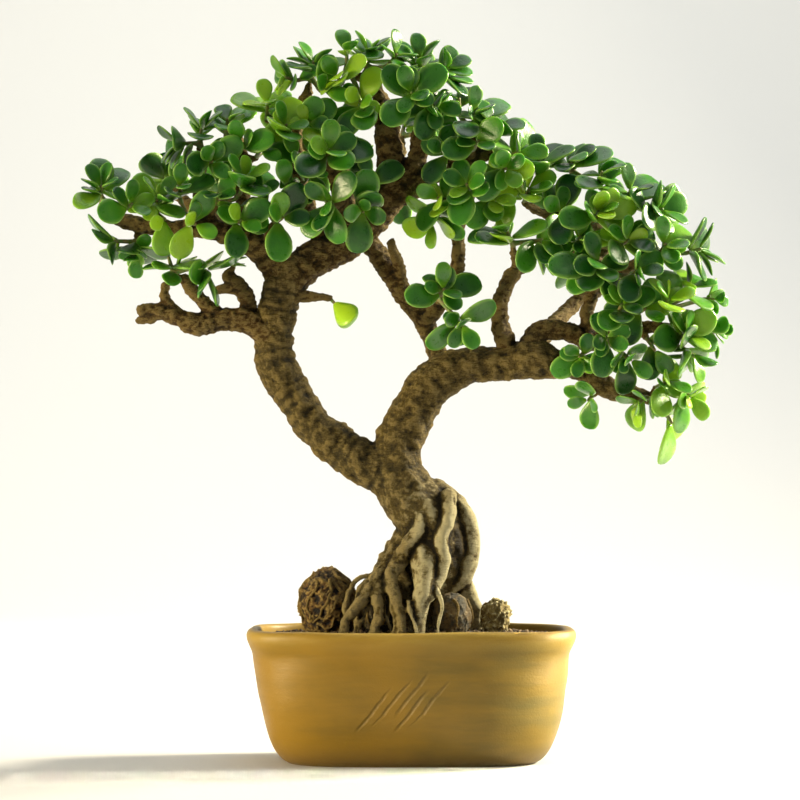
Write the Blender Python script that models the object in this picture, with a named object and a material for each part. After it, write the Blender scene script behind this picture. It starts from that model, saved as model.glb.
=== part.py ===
"""A jade bonsai: a two-limbed trunk with bare roots over stones, in a low glazed pot.

Metres, +Z up. The origin is the middle of the pot's flat foot, on the surface that it stands on.
The tables are in millimetres. Their x and z are read as the tree is seen from the front, in the
plane of the trunk, and depth is how far the point lies behind that plane.
"""

import math

import bpy
import numpy as np

MM = 0.001

# The viewpoint that the tables are read from, and how far the pot's near foot edge drops below zero there.
EYE_X = -6.6
EYE_DISTANCE = 1500.0
EYE_HEIGHT = 150.0
NEAR_EDGE_DROP = 5.0

# The pot.
RIM_HALF_WIDTH = 90.0
RIM_HALF_DEPTH = 62.0
RIM_HEIGHT = 73.0
PLAN_POWER = 3.4
PLAN_SIDES = 28
FLOOR_HEIGHT = 8.0
DRAIN_HOLE_X = 38.0
DRAIN_HOLE_RADIUS = 7.0
DRAIN_HOLE_SIDES = 16
CUTTER_REACH = 2.0
CHANNEL_WIDTH = 6.0
CHANNEL_DEPTH = 2.5

# The wood.
LIMB_STEP = 15.5
LIMB_FULLNESS = 1.06
THICK_LIMB = 6.5
THICK_LIMB_SIDES = 8
THIN_LIMB_SIDES = 5
ROOT_STEP = 12.0
ROOT_REST_GAP = 1.0
ROOT_SIDES = 6

# The soil.
SOIL_EDGE_HEIGHT = 67.0
SOIL_EDGE_INSET = 8.0
SOIL_CROWN = 3.0
SOIL_RING_SHARES = (0.75, 0.35)
FIT_GAP = 0.4
SEAT_GAP = 0.3

# The leaves.
LEAF_LENGTH = 23.0
LEAF_WIDTH_SHARE = 0.72
LEAF_THICKNESS_SHARE = 0.115
LEAF_BEND = -0.10
LEAF_CLEARANCE = 0.3
BUD_LEAF_SHARE = 0.66
OLD_LEAF_LIFT = 74.0
YOUNG_LEAF_LIFT = 40.0
LEAF_MARGIN_SHARE = 0.03

# The leafy stems, and the twigs that they stand on.
STEM_RADIUS = 1.5
STEM_TIP_RADIUS = 1.0
SEAT_HEIGHT = 2.2
PAIR_SPACING = 5.2
FORK_RISE = 2.7
FORK_ROOM = 6.4
SIDE_SHOOT_BEND_ROOM = 4.0
THICK_TWIG = 2.4
TWIG_TO_LIMB_SHARE = 0.7
LEAST_TWIG = 3.2
LEAST_STEM_ROOM = 2.6
STEM_MOVES = 6

# Each limb: points (x, depth, z, radius) as seen from the front.
LIMBS = {
    "trunk": [(13, 4, 74, 8), (13, 3, 92, 9), (14, 1, 108, 14), (13, 0, 122, 17), (8, 0, 138, 16.5),
              (-3, 0, 152, 15), (-12, 0, 165, 13)],
    "left_limb": [(-8, 0, 158, 12), (-28, 0, 169, 11), (-45, 1, 179, 10.5), (-57, 2, 192, 9.5),
                  (-67, 3, 207, 10), (-75, 3, 222, 10.5), (-76, 2, 238, 10), (-74, 1, 252, 10),
                  (-71, 0, 266, 10), (-68, 0, 277, 9.5)],
    "right_limb": [(-10, 0, 160, 13), (-8, -1, 178, 12.5), (-1, -2, 193, 12), (7, -3, 207, 11.5),
                   (19, -3, 218, 11), (35, -3, 222, 9), (52, -3, 222, 8.5), (66, -4, 226, 11),
                   (80, -4, 222, 7), (92, -3, 221, 6), (102, -2, 213, 5.5), (113, -2, 206, 5),
                   (126, -1, 205, 3.8), (136, 0, 201, 2.8)],
    "left_branch": [(-70, 0, 270, 9), (-80, -2, 283, 8), (-92, -4, 291, 6.2), (-108, -5, 296, 5.2),
                    (-125, -5, 297, 4.4), (-142, -4, 297, 4), (-158, -3, 301, 3.6), (-169, -3, 305, 3)],
    "apex_limb": [(-70, 0, 268, 10), (-56, 3, 279, 9.5), (-42, 5, 286, 9.2), (-30, 6, 295, 9),
                  (-19, 6, 306, 9), (-10, 4, 320, 8.5), (-12, 3, 336, 7.2), (-14, 2, 352, 6.6),
                  (-16, 2, 366, 4.5), (-22, 2, 378, 3)],
    "apex_fork": [(-6, 4, 320, 6), (3, 0, 335, 5.2), (6, -1, 350, 4.8), (7, 0, 362, 3.8), (10, 1, 372, 2.8)],
    "crown_right": [(-6, 5, 316, 7), (5, 4, 324, 6.5), (16, 2, 330, 5.2), (28, 1, 334, 4.2),
                    (40, 1, 337, 3.4), (48, 2, 345, 2.6)],
    "riser": [(17, 2, 219, 6), (12, 9, 234, 4.6), (6, 12, 247, 5), (-4, 14, 260, 5.2), (-13, 16, 273, 5.2),
              (-21, 19, 286, 5), (-30, 24, 299, 4.6), (-36, 30, 316, 4.2), (-38, 32, 334, 3.6),
              (-34, 28, 352, 3)],
    "inner_riser": [(8, 8, 246, 4.6), (16, 4, 256, 4.2), (24, 4, 268, 3.9), (26, 5, 283, 3.6),
                    (25, 6, 296, 3.3), (30, 7, 308, 2.9)],
    "side_riser": [(54, -3, 226, 6), (49, -4, 242, 4.6), (48, -2, 256, 4.2), (54, 4, 270, 3.8),
                   (66, 12, 282, 3.6), (78, 16, 296, 3.6), (84, 16, 310, 3.4), (84, 12, 321, 3)],
    "upper_knuckle": [(64, -4, 229, 7), (70, -3, 241, 5.6), (84, -3, 241, 5), (97, -3, 235, 4.6),
                      (108, -4, 236, 3.8), (120, -5, 241, 3.2), (134, -4, 243, 2.7), (146, 0, 241, 2.2)],
    "outer_riser": [(97, -3, 235, 4), (96, -1, 250, 3.5), (100, 2, 262, 3.2), (110, 4, 270, 3),
                    (122, 4, 277, 2.8), (136, 3, 284, 2.4)],
    "top_riser": [(101, 2, 262, 3.2), (104, 10, 278, 3), (108, 12, 292, 2.8), (114, 10, 302, 2.4)],
    "low_limb": [(-76, 0, 238, 8), (-90, -1, 246, 6.6), (-104, -2, 247, 5.6), (-119, -3, 243, 6),
                 (-130, -2, 249, 4.6), (-141, -2, 252, 3.8), (-150, -3, 252, 2.8)],
    "low_stub": [(-138, -2, 251, 3.2), (-145, -1, 247, 2.6), (-151, 0, 246, 2)],
    "low_peg": [(-131, -2, 250, 3.4), (-137, -3, 259, 2.8), (-136, -3, 266, 2.4)],
    "low_rise": [(-105, -2, 248, 4.4), (-114, -3, 255, 3.8), (-121, -3, 263, 3.4), (-125, -4, 269, 2.8)],
    "low_knob": [(-90, 0, 247, 4.8), (-90, 0, 258, 4.3), (-96, 0, 266, 4.2), (-102, 1, 270, 3.2)],
    "low_knob_peg": [(-93, 0, 262, 3), (-102, -1, 264, 2.6), (-109, -2, 263, 2)],
    "inner_stub": [(-72, -2, 256, 4), (-60, -3, 260, 3), (-52, -3, 259, 2.5)],
    "dead_twig": [(-5, 14, 262, 3.4), (-6, 10, 272, 3.2), (-9, 8, 282, 3), (-12, 7, 290, 2.2)],
    "left_rise_outer": [(-110, -5, 296, 4.4), (-116, -2, 310, 3.8), (-118, 1, 323, 3.3), (-115, 3, 336, 2.8)],
    "left_rise": [(-85, -2, 286, 5.4), (-91, 2, 304, 4.4), (-95, 4, 322, 3.9), (-94, 4, 338, 3.3),
                  (-97, 3, 348, 2.8)],
    "middle_rise": [(-45, 5, 285, 6), (-56, 5, 303, 5), (-62, 4, 322, 4.4), (-65, 4, 342, 3.8),
                    (-63, 4, 360, 3.2), (-58, 3, 371, 2.7)],
    "front_rise": [(-34, 4, 293, 6), (-36, -10, 303, 4.4), (-40, -18, 316, 3.8), (-44, -20, 328, 3)],
    "back_rise": [(-28, 8, 296, 6), (-22, 30, 306, 4.8), (-16, 52, 322, 4), (-6, 66, 340, 3.2)],
    "back_left": [(-92, -2, 291, 5), (-104, 20, 298, 4.2), (-118, 38, 306, 3.6), (-130, 48, 316, 2.8)],
    "back_right": [(60, -2, 226, 6), (70, 22, 236, 4.8), (84, 44, 250, 4), (100, 58, 266, 3.2)],
}

# Each root: points (x, depth, z, radius) as seen from the front. They end below the soil's surface.
ROOTS = {
    "root_front_left": [(-3, -2, 127, 7), (-12, -7, 114, 5.2), (-20, -16, 103, 3.6), (-27, -24, 92, 2.8),
                        (-36, -30, 82, 2.5), (-40, -32, 68, 2.4)],
    "root_strap": [(-8, 0, 120, 7), (-16, -8, 108, 5), (-19, -20, 97, 3.2), (-18, -28, 86, 2.6),
                   (-21, -32, 68, 2.5)],
    "root_cross": [(-4, -10, 118, 5), (-12, -20, 104, 3.4), (-9, -27, 92, 2.6), (-5, -31, 82, 2.5),
                   (-6, -33, 68, 2.4)],
    "root_front": [(6, -6, 126, 8), (7, -16, 113, 7), (7, -22, 100, 5.4), (4, -26, 88, 4.4),
                   (2, -28, 68, 4.2)],
    "root_ridge": [(20, -8, 150, 4.6), (20, -15, 137, 4), (15, -17, 125, 3.8), (18, -17, 114, 3.8),
                   (14, -19, 104, 3.6), (9, -24, 94, 3.2)],
    "root_fold": [(6, -12, 143, 4), (4, -16, 131, 3.8), (-3, -16, 122, 3.8), (-8, -14, 112, 3.6)],
    "root_bow": [(10, 0, 153, 7), (22, 0, 147, 6.2), (30, -1, 136, 5.8), (32, -2, 123, 5.8),
                 (30, -3, 111, 5.6), (23, -3, 102, 5.2), (14, -2, 98, 6)],
    "root_bow_inner": [(16, 0, 138, 9), (23, -2, 126, 8), (23, -4, 114, 7.4), (17, -2, 103, 7)],
    "root_right": [(26, -2, 108, 5), (30, 3, 98, 4.4), (34, 12, 88, 4), (37, 20, 68, 3.6)],
    "root_back_left": [(4, 8, 120, 7), (-9, 20, 108, 5.6), (-20, 30, 94, 4.6), (-24, 36, 68, 4)],
    "root_back": [(14, 8, 116, 8), (16, 20, 104, 6), (15, 31, 90, 5), (14, 38, 68, 4.2)],
}

# Each stone: middle (x, depth, z) as seen from the front, half sizes, and how deep its hollows are.
STONES = {
    "stone_left": ((-46, 2, 90), (17.5, 20, 21.5), 0.10),
    "stone_middle": ((-18, -6, 87), (10.5, 15, 17), 0.08),
    "stone_right": ((22, -14, 84), (11.5, 10, 13), 0.05),
    "stone_small": ((46, 0, 83), (9.5, 10, 12), 0.09),
}

# Each spray: its leafy shoots as (foot, tip, first pair's turn in degrees, leaf size, leaf pairs).
# The first shoot stands on a twig of the nearest limb, and the others branch from low on its stem.
SPRAYS = {
    "spray_left_tip": [((-170, -4, 309), (-170, -12, 318), 50, 0.95, 2),
                       ((-160, -10, 306), (-154, -22, 311), 20, 1.0, 2)],
    "spray_left_under": [((-152, -3, 292), (-153, -7, 284), 0, 0.9, 2),
                         ((-160, -6, 290), (-166, -7, 290), 90, 0.9, 1)],
    "spray_left_second": [((-143, -8, 304), (-140, -16, 316), 80, 0.95, 2),
                          ((-138, -14, 303), (-136, -24, 302), 90, 0.9, 2)],
    "spray_left_third": [((-124, -12, 300), (-119, -24, 299), 60, 0.95, 2),
                         ((-128, -10, 312), (-128, -20, 321), 20, 0.9, 2)],
    "spray_left_shoulder": [((-117, -3, 343), (-116, -7, 354), 75, 1.0, 2),
                            ((-124, -7, 344), (-131, -10, 344), 10, 0.95, 2),
                            ((-112, -12, 334), (-110, -22, 334), 40, 0.95, 2)],
    "spray_left_peak": [((-100, 0, 350), (-99, -6, 359), 40, 0.95, 2),
                        ((-94, -6, 340), (-96, -18, 345), 0, 1.0, 2)],
    "spray_left_face": [((-108, -12, 310), (-107, -24, 317), 15, 1.0, 2),
                        ((-96, -14, 312), (-92, -26, 326), 70, 1.1, 2)],
    "spray_left_round": [((-98, -14, 299), (-94, -26, 302), 45, 0.95, 2)],
    "spray_fork_face": [((-76, -14, 300), (-71, -26, 303), 80, 1.1, 2),
                        ((-80, -18, 307), (-84, -24, 317), 30, 0.9, 2)],
    "spray_centre_left": [((-72, -10, 314), (-69, -24, 321), 20, 1.05, 2),
                          ((-60, -10, 322), (-55, -22, 329), 60, 0.95, 2)],
    "spray_mid_low": [((-86, -4, 336), (-83, -18, 342), 25, 0.95, 2),
                      ((-74, -6, 346), (-69, -18, 355), 45, 1.0, 2)],
    "spray_mid_high": [((-80, 2, 358), (-80, -6, 367), 15, 0.95, 2),
                       ((-60, -2, 352), (-57, -14, 356), 70, 0.9, 2)],
    "spray_mid_top": [((-57, 2, 375), (-55, -2, 388), 30, 0.95, 2),
                      ((-64, -1, 379), (-71, -4, 381), 10, 0.95, 2),
                      ((-51, -6, 373), (-47, -14, 374), 60, 0.95, 2)],
    "spray_centre_wide": [((-48, -22, 334), (-45, -32, 341), 5, 1.15, 2)],
    "spray_centre_low": [((-43, -22, 310), (-48, -31, 312), 40, 1.0, 2)],
    "spray_centre_dark": [((-29, -10, 309), (-27, -24, 306), 85, 1.05, 2),
                          ((-24, -8, 318), (-22, -18, 325), 30, 0.95, 2)],
    "spray_apex_left": [((-36, -2, 384), (-36, -8, 396), 20, 0.95, 2),
                        ((-25, -4, 364), (-29, -16, 368), 65, 0.95, 2),
                        ((-38, -8, 376), (-42, -16, 382), 40, 0.95, 2)],
    "spray_apex": [((-24, 2, 385), (-22, 0, 395), 60, 0.95, 2),
                   ((-14, -2, 386), (-8, -8, 394), 10, 0.95, 2)],
    "spray_apex_right": [((5, 2, 381), (5, 0, 392), 60, 1.05, 2),
                         ((14, 0, 380), (20, -4, 387), 80, 1.0, 2)],
    "spray_apex_face": [((-1, -10, 366), (0, -24, 373), 35, 1.1, 2),
                        ((8, -8, 364), (14, -18, 366), 60, 1.0, 2)],
    "spray_right_peak": [((33, -4, 352), (35, -12, 362), 30, 1.1, 2),
                         ((42, -2, 350), (48, -8, 355), 60, 1.05, 2),
                         ((26, -4, 358), (26, -10, 370), 80, 0.95, 2)],
    "spray_right_inner": [((34, -10, 341), (37, -20, 346), 20, 1.0, 2),
                          ((22, -6, 336), (18, -18, 340), 60, 0.9, 2)],
    "spray_right_shoulder": [((52, 0, 336), (60, -8, 340), 70, 1.1, 2),
                             ((50, -10, 330), (52, -20, 330), 30, 1.0, 2)],
    "spray_heart_face": [((33, -8, 316), (30, -24, 322), 80, 1.05, 2),
                         ((40, -6, 311), (45, -14, 315), 30, 0.95, 2),
                         ((22, -6, 312), (14, -16, 314), 50, 0.95, 2)],
    "spray_olive": [((16, 2, 306), (10, -6, 299), 10, 0.95, 2)],
    "spray_elbow": [((14, -6, 257), (18, -18, 264), 15, 1.05, 2),
                    ((22, -10, 250), (28, -20, 243), 40, 1.0, 2)],
    "spray_right_gap": [((56, -4, 286), (52, -12, 297), 10, 1.05, 2),
                        ((66, -4, 290), (72, -12, 291), 30, 1.05, 2)],
    "spray_crown_step": [((62, 2, 312), (65, -8, 320), 50, 1.05, 2),
                         ((70, 2, 326), (70, -4, 337), 10, 1.0, 2)],
    "spray_crown_far": [((88, 6, 328), (87, -2, 337), 10, 1.1, 2),
                        ((102, -2, 320), (105, -8, 329), 40, 1.05, 2)],
    "spray_crown_face": [((100, -8, 301), (103, -18, 307), 15, 1.05, 2),
                         ((84, 2, 304), (82, -12, 307), 60, 1.0, 2)],
    "spray_far_top": [((118, 2, 312), (121, -4, 319), 30, 1.05, 2),
                      ((132, -2, 306), (139, -6, 308), 20, 1.1, 2)],
    "spray_inner_dark": [((90, 0, 286), (93, -10, 293), 20, 1.0, 2),
                         ((112, -4, 286), (120, -16, 291), 40, 1.1, 2)],
    "spray_big_dark": [((100, -14, 271), (103, -26, 279), 5, 1.25, 2),
                       ((120, -12, 270), (125, -22, 275), 60, 1.0, 2)],
    "spray_far_face": [((136, -8, 282), (140, -18, 289), 40, 1.1, 2),
                       ((150, 0, 283), (160, -2, 286), 10, 1.1, 2)],
    "spray_mid_right": [((113, -12, 249), (116, -22, 256), 50, 0.95, 2),
                        ((124, -8, 250), (129, -18, 253), 20, 1.0, 2)],
    "spray_white_face": [((137, -10, 250), (142, -20, 259), 70, 1.05, 2),
                         ((150, -2, 258), (154, -6, 266), 60, 1.0, 2),
                         ((160, 0, 258), (168, -2, 258), 80, 0.66, 2)],
    "spray_far_right": [((148, -6, 240), (153, -12, 242), 10, 1.1, 2),
                        ((160, 2, 240), (170, 3, 240), 80, 0.66, 2)],
    "spray_hang_left": [((106, -12, 236), (108, -22, 236), 80, 0.95, 2),
                        ((94, -10, 228), (92, -18, 226), 30, 0.85, 2),
                        ((116, -12, 228), (121, -20, 224), 60, 0.95, 2)],
    "spray_hang_mid": [((130, -10, 236), (134, -18, 230), 60, 1.05, 2),
                       ((148, -4, 232), (156, -8, 226), 20, 1.05, 2)],
    "spray_low_right": [((136, -6, 210), (142, -14, 213), 60, 1.0, 2),
                        ((148, -2, 208), (154, -8, 204), 40, 1.05, 2)],
    "spray_tail": [((138, 0, 198), (141, -2, 192), 90, 1.1, 1),
                   ((128, -4, 205), (122, -10, 200), 20, 0.95, 2)],
    "spray_under": [((100, -8, 206), (98, -12, 204), 80, 0.8, 2)],
    "spray_low_left": [((-126, -5, 271), (-129, -9, 282), 0, 1.0, 2),
                       ((-119, -9, 276), (-112, -11, 273), 90, 0.95, 1)],
    "spray_low_mid": [((-99, 0, 274), (-98, -6, 281), 20, 0.75, 2)],
    "spray_inner_drop": [((-50, -3, 259), (-46, -3, 255), 0, 0.95, 1)],
    "spray_back_crown": [((-6, 70, 346), (-4, 80, 356), 20, 1.0, 2),
                         ((8, 62, 350), (16, 66, 358), 60, 1.0, 2)],
    "spray_back_mid": [((-26, 52, 326), (-34, 60, 336), 40, 1.0, 2),
                       ((-14, 60, 316), (-10, 74, 320), 80, 1.0, 2)],
    "spray_back_left": [((-131, 50, 318), (-136, 58, 326), 30, 1.0, 2),
                        ((-118, 50, 316), (-112, 62, 322), 70, 1.0, 2)],
    "spray_back_right": [((101, 60, 268), (108, 68, 276), 20, 1.0, 2),
                         ((99, 68, 274), (94, 76, 280), 60, 1.0, 2)],
    "spray_back_shoulder": [((-62, 16, 345), (-66, 30, 352), 30, 1.0, 2),
                            ((-54, 20, 330), (-50, 34, 334), 70, 1.0, 2)],
    "spray_back_fork": [((82, 24, 300), (84, 36, 308), 30, 1.0, 2),
                        ((94, 20, 296), (104, 30, 298), 70, 1.0, 2)],
}


def seen(x, depth, z):
    """The place of a point seen at x, z in the trunk's plane, slid along its sight line to its depth."""
    near = (EYE_DISTANCE + depth) / EYE_DISTANCE
    height = EYE_HEIGHT + (z - NEAR_EDGE_DROP - EYE_HEIGHT) * near
    return np.array((EYE_X + (x - EYE_X) * near, depth, height))


def unit(vector):
    return vector / np.linalg.norm(vector)


def smooth_run(rows, step):
    """Points and radii about a step apart on the smooth curve through the rows: a Catmull-Rom spline."""
    knots = np.array([[*seen(x, depth, z), radius] for x, depth, z, radius in rows])
    padded = np.vstack([2 * knots[0] - knots[1], knots, 2 * knots[-1] - knots[-2]])
    run = [knots[0]]
    for before, start, end, after in zip(padded, padded[1:], padded[2:], padded[3:]):
        pieces = max(1, round(np.linalg.norm((end - start)[:3]) / step))
        for piece in range(1, pieces + 1):
            t = piece / pieces
            run.append(0.5 * (2 * start + (end - before) * t
                              + (2 * before - 5 * start + 4 * end - after) * t**2
                              + (3 * start - before - 3 * end + after) * t**3))
    run = np.array(run)
    return run[:, :3], run[:, 3]


def knuckled(points, radii):
    """Radii that swell and shrink along a limb, as old leaf scars and pruned buds leave it."""
    along = points @ np.array((0.31, 0.17, 0.42))
    return radii * (LIMB_FULLNESS + 0.05 * np.sin(along) + 0.03 * np.sin(2.3 * along + 1.0))


def limb_run(name):
    """A limb's points and radii, as it is built. The trunk's foot lies over the stones."""
    points, radii = smooth_run(LIMBS[name], LIMB_STEP)
    points = off_stones(points, radii, FIT_GAP) if name == "trunk" else points
    return points, knuckled(points, radii)


def off_stones(points, radii, gap):
    """Points of a root pushed straight out of every stone, so that the root lies over it."""
    points = points.copy()
    for middle, half, _ in STONES.values():
        centre, half = seen(*middle), np.array(half)
        for index, radius in enumerate(radii):
            room = half + radius + gap
            reach = np.linalg.norm((points[index] - centre) / room)
            if reach < 1:
                points[index] = centre + (points[index] - centre) / max(reach, 0.05)
    return points


def rings_along(points, radii, sides):
    """The corners of a tube: a regular polygon at each point, square to the curve and untwisted."""
    tangents = np.gradient(points, axis=0)
    tangents /= np.linalg.norm(tangents, axis=1)[:, None]
    across = unit(np.cross(tangents[0], (0.35, 1.0, 0.2)))
    angles = np.arange(sides) * 2 * math.pi / sides
    rings = []
    for point, tangent, radius in zip(points, tangents, radii):
        across = unit(across - tangent * (across @ tangent))
        other = np.cross(tangent, across)
        rings.append(point + radius * (np.outer(np.cos(angles), across) + np.outer(np.sin(angles), other)))
    return np.array(rings)


def loft(rings, name):
    """A closed mesh object through rings of equal count, with a flat face on each end."""
    count, sides = rings.shape[:2]
    faces = [
        (ring * sides + side, ring * sides + (side + 1) % sides,
         (ring + 1) * sides + (side + 1) % sides, (ring + 1) * sides + side)
        for ring in range(count - 1)
        for side in range(sides)
    ]
    faces.append(tuple(reversed(range(sides))))
    faces.append(tuple(range((count - 1) * sides, count * sides)))
    return mesh_object(name, rings.reshape(-1, 3), faces)


def mesh_object(name, points, faces):
    """A mesh object in the scene, from points in millimetres."""
    mesh = bpy.data.meshes.new(name)
    mesh.from_pydata((np.asarray(points) * MM).tolist(), [], faces)
    mesh.update()
    made = bpy.data.objects.new(name, mesh)
    bpy.context.scene.collection.objects.link(made)
    return made


def tube(points, radii, sides, name="tube"):
    return loft(rings_along(points, radii, sides), name)


def finish_material(name, colour, roughness):
    made = bpy.data.materials.new(name)
    made.use_nodes = True
    shader = made.node_tree.nodes["Principled BSDF"]
    shader.inputs["Base Color"].default_value = (*colour, 1)
    shader.inputs["Roughness"].default_value = roughness
    shader.inputs["Metallic"].default_value = 0
    return made


def combine(target, operation, others):
    """Applies one Boolean between the target and all the others, and removes the others."""
    tools = bpy.data.collections.new("tools")
    for other in others:
        tools.objects.link(other)
    change = target.modifiers.new(operation.lower(), "BOOLEAN")
    change.operation = operation
    change.operand_type = "COLLECTION"
    change.collection = tools
    change.solver = "EXACT"
    graph = bpy.context.evaluated_depsgraph_get()
    mesh = bpy.data.meshes.new_from_object(target.evaluated_get(graph))
    target.modifiers.clear()
    target.data = mesh
    for other in others:
        bpy.data.objects.remove(other)
    bpy.data.collections.remove(tools)
    return target


def dress(made, name, finish, crease_angle=math.radians(40)):
    """Names a finished node and gives it its material and smooth shading."""
    made.name = name
    made.data.name = name
    made.data.materials.clear()
    made.data.materials.append(finish)
    made.data.shade_smooth()
    made.data.set_sharp_from_angle(angle=crease_angle)
    return made


def plan_ring(inset, height):
    """One level of the pot: a rounded oblong, |x/a|^n + |y/b|^n = 1, inset from the rim's outline."""
    angles = (np.arange(PLAN_SIDES) + 0.5) * 2 * math.pi / PLAN_SIDES
    cosine, sine = np.cos(angles), np.sin(angles)
    half_width, half_depth = RIM_HALF_WIDTH - inset, RIM_HALF_DEPTH - inset
    reach = (np.abs(cosine) ** PLAN_POWER + np.abs(sine) ** PLAN_POWER) ** (-1 / PLAN_POWER)
    levels = np.full(PLAN_SIDES, height)
    return np.column_stack([half_width * reach * cosine, half_depth * reach * sine, levels])


# The pot's outer side from the foot to the lip, and its inner side from there to the floor: (inset, height).
OUTER_SIDE = [(22, 0), (17.5, 3), (13, 10), (8, 25), (4.4, 43), (3, 57), (2.6, 61), (0.8, 63.5), (0, 68),
              (0.8, 71.8), (2.8, RIM_HEIGHT), (4.8, RIM_HEIGHT)]
INNER_SIDE = [(6.6, 71.5), (7.4, 65), (11, 44), (17, 21), (24, 10.5), (31, FLOOR_HEIGHT)]


def make_pot(finish):
    """The pot, with two drain holes in its floor and a channel from each to the back of the foot."""
    pot = loft(np.array([plan_ring(*level) for level in OUTER_SIDE + INNER_SIDE]), "pot")
    cutters = []
    for side in (-1, 1):
        angles = np.arange(DRAIN_HOLE_SIDES) * 2 * math.pi / DRAIN_HOLE_SIDES
        circle = DRAIN_HOLE_RADIUS * np.column_stack([np.cos(angles), np.sin(angles)])
        cutters.append(upright_cutter(circle, side * DRAIN_HOLE_X, FLOOR_HEIGHT + CUTTER_REACH))
        half = CHANNEL_WIDTH / 2
        square = np.array([(-half, 0), (half, 0), (half, RIM_HALF_DEPTH), (-half, RIM_HALF_DEPTH)])
        cutters.append(upright_cutter(square, side * DRAIN_HOLE_X, CHANNEL_DEPTH))
    return dress(combine(pot, "DIFFERENCE", cutters), "pot", finish)


def upright_cutter(outline, x, top):
    """An outline moved to x and carried straight up, from just under the foot to the top."""
    levels = [np.column_stack([outline + (x, 0), np.full(len(outline), height)])
              for height in (-CUTTER_REACH, top)]
    return loft(np.array(levels), "cutter")


def make_stone(name, inflate=0.0):
    """A stone: a ball stretched to its half sizes, with hollows pressed into it by a sum of waves."""
    middle, half, hollow = STONES[name]
    bpy.ops.mesh.primitive_ico_sphere_add(subdivisions=2, radius=1)
    stone = bpy.context.object
    points = np.empty(len(stone.data.vertices) * 3)
    stone.data.vertices.foreach_get("co", points)
    points = points.reshape(-1, 3)
    wave = (np.sin(points @ (5.1, 2.3, 3.7)) + np.sin(points @ (-2.9, 6.3, 1.9) + 1)
            + np.sin(points @ (3.3, -4.1, 5.9)))
    depth = hollow * (0.5 + wave / 6)
    points = seen(*middle) + points * ((1 - depth)[:, None] * np.array(half) + inflate)
    stone.data.vertices.foreach_set("co", (points * MM).ravel())
    return stone


def root_run(name):
    """A root's points and radii, laid over the stones."""
    points, radii = smooth_run(ROOTS[name], ROOT_STEP)
    return off_stones(points, radii, ROOT_REST_GAP), radii


def make_soil(finish):
    """The soil: the pot's hollow filled to just below the rim and crowned, with plain holes for what stands
    in it. Its side follows the pot's inner side, but for the first two levels, which are over its edge."""
    levels = [(inset + FIT_GAP, height + FIT_GAP) for inset, height in reversed(INNER_SIDE[2:])]
    levels.append((SOIL_EDGE_INSET, SOIL_EDGE_HEIGHT))
    rings = [plan_ring(*level) for level in levels]
    for share in SOIL_RING_SHARES:
        ring = plan_ring(SOIL_EDGE_INSET, 0) * share
        ring[:, 2] = SOIL_EDGE_HEIGHT + SOIL_CROWN * (1 - share**2)
        rings.append(ring)
    soil = loft(np.array(rings), "soil")
    cutters = [make_stone(name, FIT_GAP) for name in STONES]
    runs = [(*root_run(name), ROOT_SIDES) for name in ROOTS] + [(*limb_run("trunk"), THICK_LIMB_SIDES)]
    for points, radii, sides in runs:
        points[-1] += unit(points[-1] - points[-2]) * FIT_GAP
        points[0] += unit(points[0] - points[1]) * FIT_GAP
        if points[:, 2].min() < SOIL_EDGE_HEIGHT + SOIL_CROWN:
            cutters.append(tube(points, radii + FIT_GAP, sides))
    return dress(combine(soil, "DIFFERENCE", cutters), "soil", finish)


def limb_points():
    """Every limb's and root's points and radii, as one cloud that twigs and leaves are measured against."""
    runs = [densified(*limb_run(name)) for name in LIMBS] + [densified(*root_run(name)) for name in ROOTS]
    return np.vstack([run[0] for run in runs]), np.concatenate([run[1] for run in runs])


def twig_to(foot, heading, cloud):
    """A straight twig from inside the nearest limb to a spray's foot, how thick it starts, and the way that
    its end faces: half way between its own course and the spray's heading."""
    points, radii = cloud
    nearest = int(np.argmin(np.linalg.norm(points - foot, axis=1) - radii))
    course = unit(foot - points[nearest])
    thickness = min(THICK_TWIG, radii[nearest] * TWIG_TO_LIMB_SHARE)
    return np.array([points[nearest], foot]), thickness, unit(course + heading)


def facing_ring(centre, heading, turn, radius, facing):
    """A stem's corners in a plane that faces another way than the stem is heading."""
    across = square_to(heading)
    return square_ring(centre, facing, unit(across - facing * (across @ facing)), turn, radius)


class Shoot:
    """A leafy shoot: square rings up its stem, and the seats on its sides that leaves grow from."""

    def __init__(self, heading, turn, size, pairs):
        self.heading = heading
        self.turn = math.radians(turn)
        self.size = size
        self.pairs = pairs
        self.rings = []
        self.seats = []
        self.sides = {}

    def climb(self, tip, across, first_turn, quarter):
        """Adds the rings of the leaf pairs up to the tip, each pair a quarter turn round from the last."""
        for pair in range(self.pairs):
            below = (self.pairs - 1 - pair) * PAIR_SPACING * self.size
            radius = STEM_RADIUS + (STEM_TIP_RADIUS - STEM_RADIUS) * (pair + 1) / self.pairs
            for drop in (below + SEAT_HEIGHT, below):
                centre = tip - self.heading * drop
                self.rings.append(square_ring(centre, self.heading, across, first_turn, radius))
            self.seats.append((len(self.rings) - 2, (quarter + pair) % 2))

    def seat_corners(self, ring, side):
        """The corners of one side between a ring and the next: the lower pair, then the upper pair."""
        low, high = self.rings[ring], self.rings[ring + 1]
        return np.array([low[side - 1], low[side], high[side], high[side - 1]])


def spine(rings):
    """The axis of a square stem, as points and radii midway between its sides' and its corners' distances."""
    centres = np.array([ring.mean(axis=0) for ring in rings])
    corner_radii = np.array([np.linalg.norm(ring[0] - middle) for ring, middle in zip(rings, centres)])
    return centres, corner_radii * 0.85


def square_ring(centre, heading, across, turn, radius):
    """Four corners round a stem's axis. Each side's middle is a radius away, and side 0's is at the turn."""
    angles = turn + math.radians(45) + np.arange(4) * math.pi / 2
    other = np.cross(heading, across)
    return centre + radius * 2**0.5 * (np.outer(np.cos(angles), across) + np.outer(np.sin(angles), other))


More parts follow.
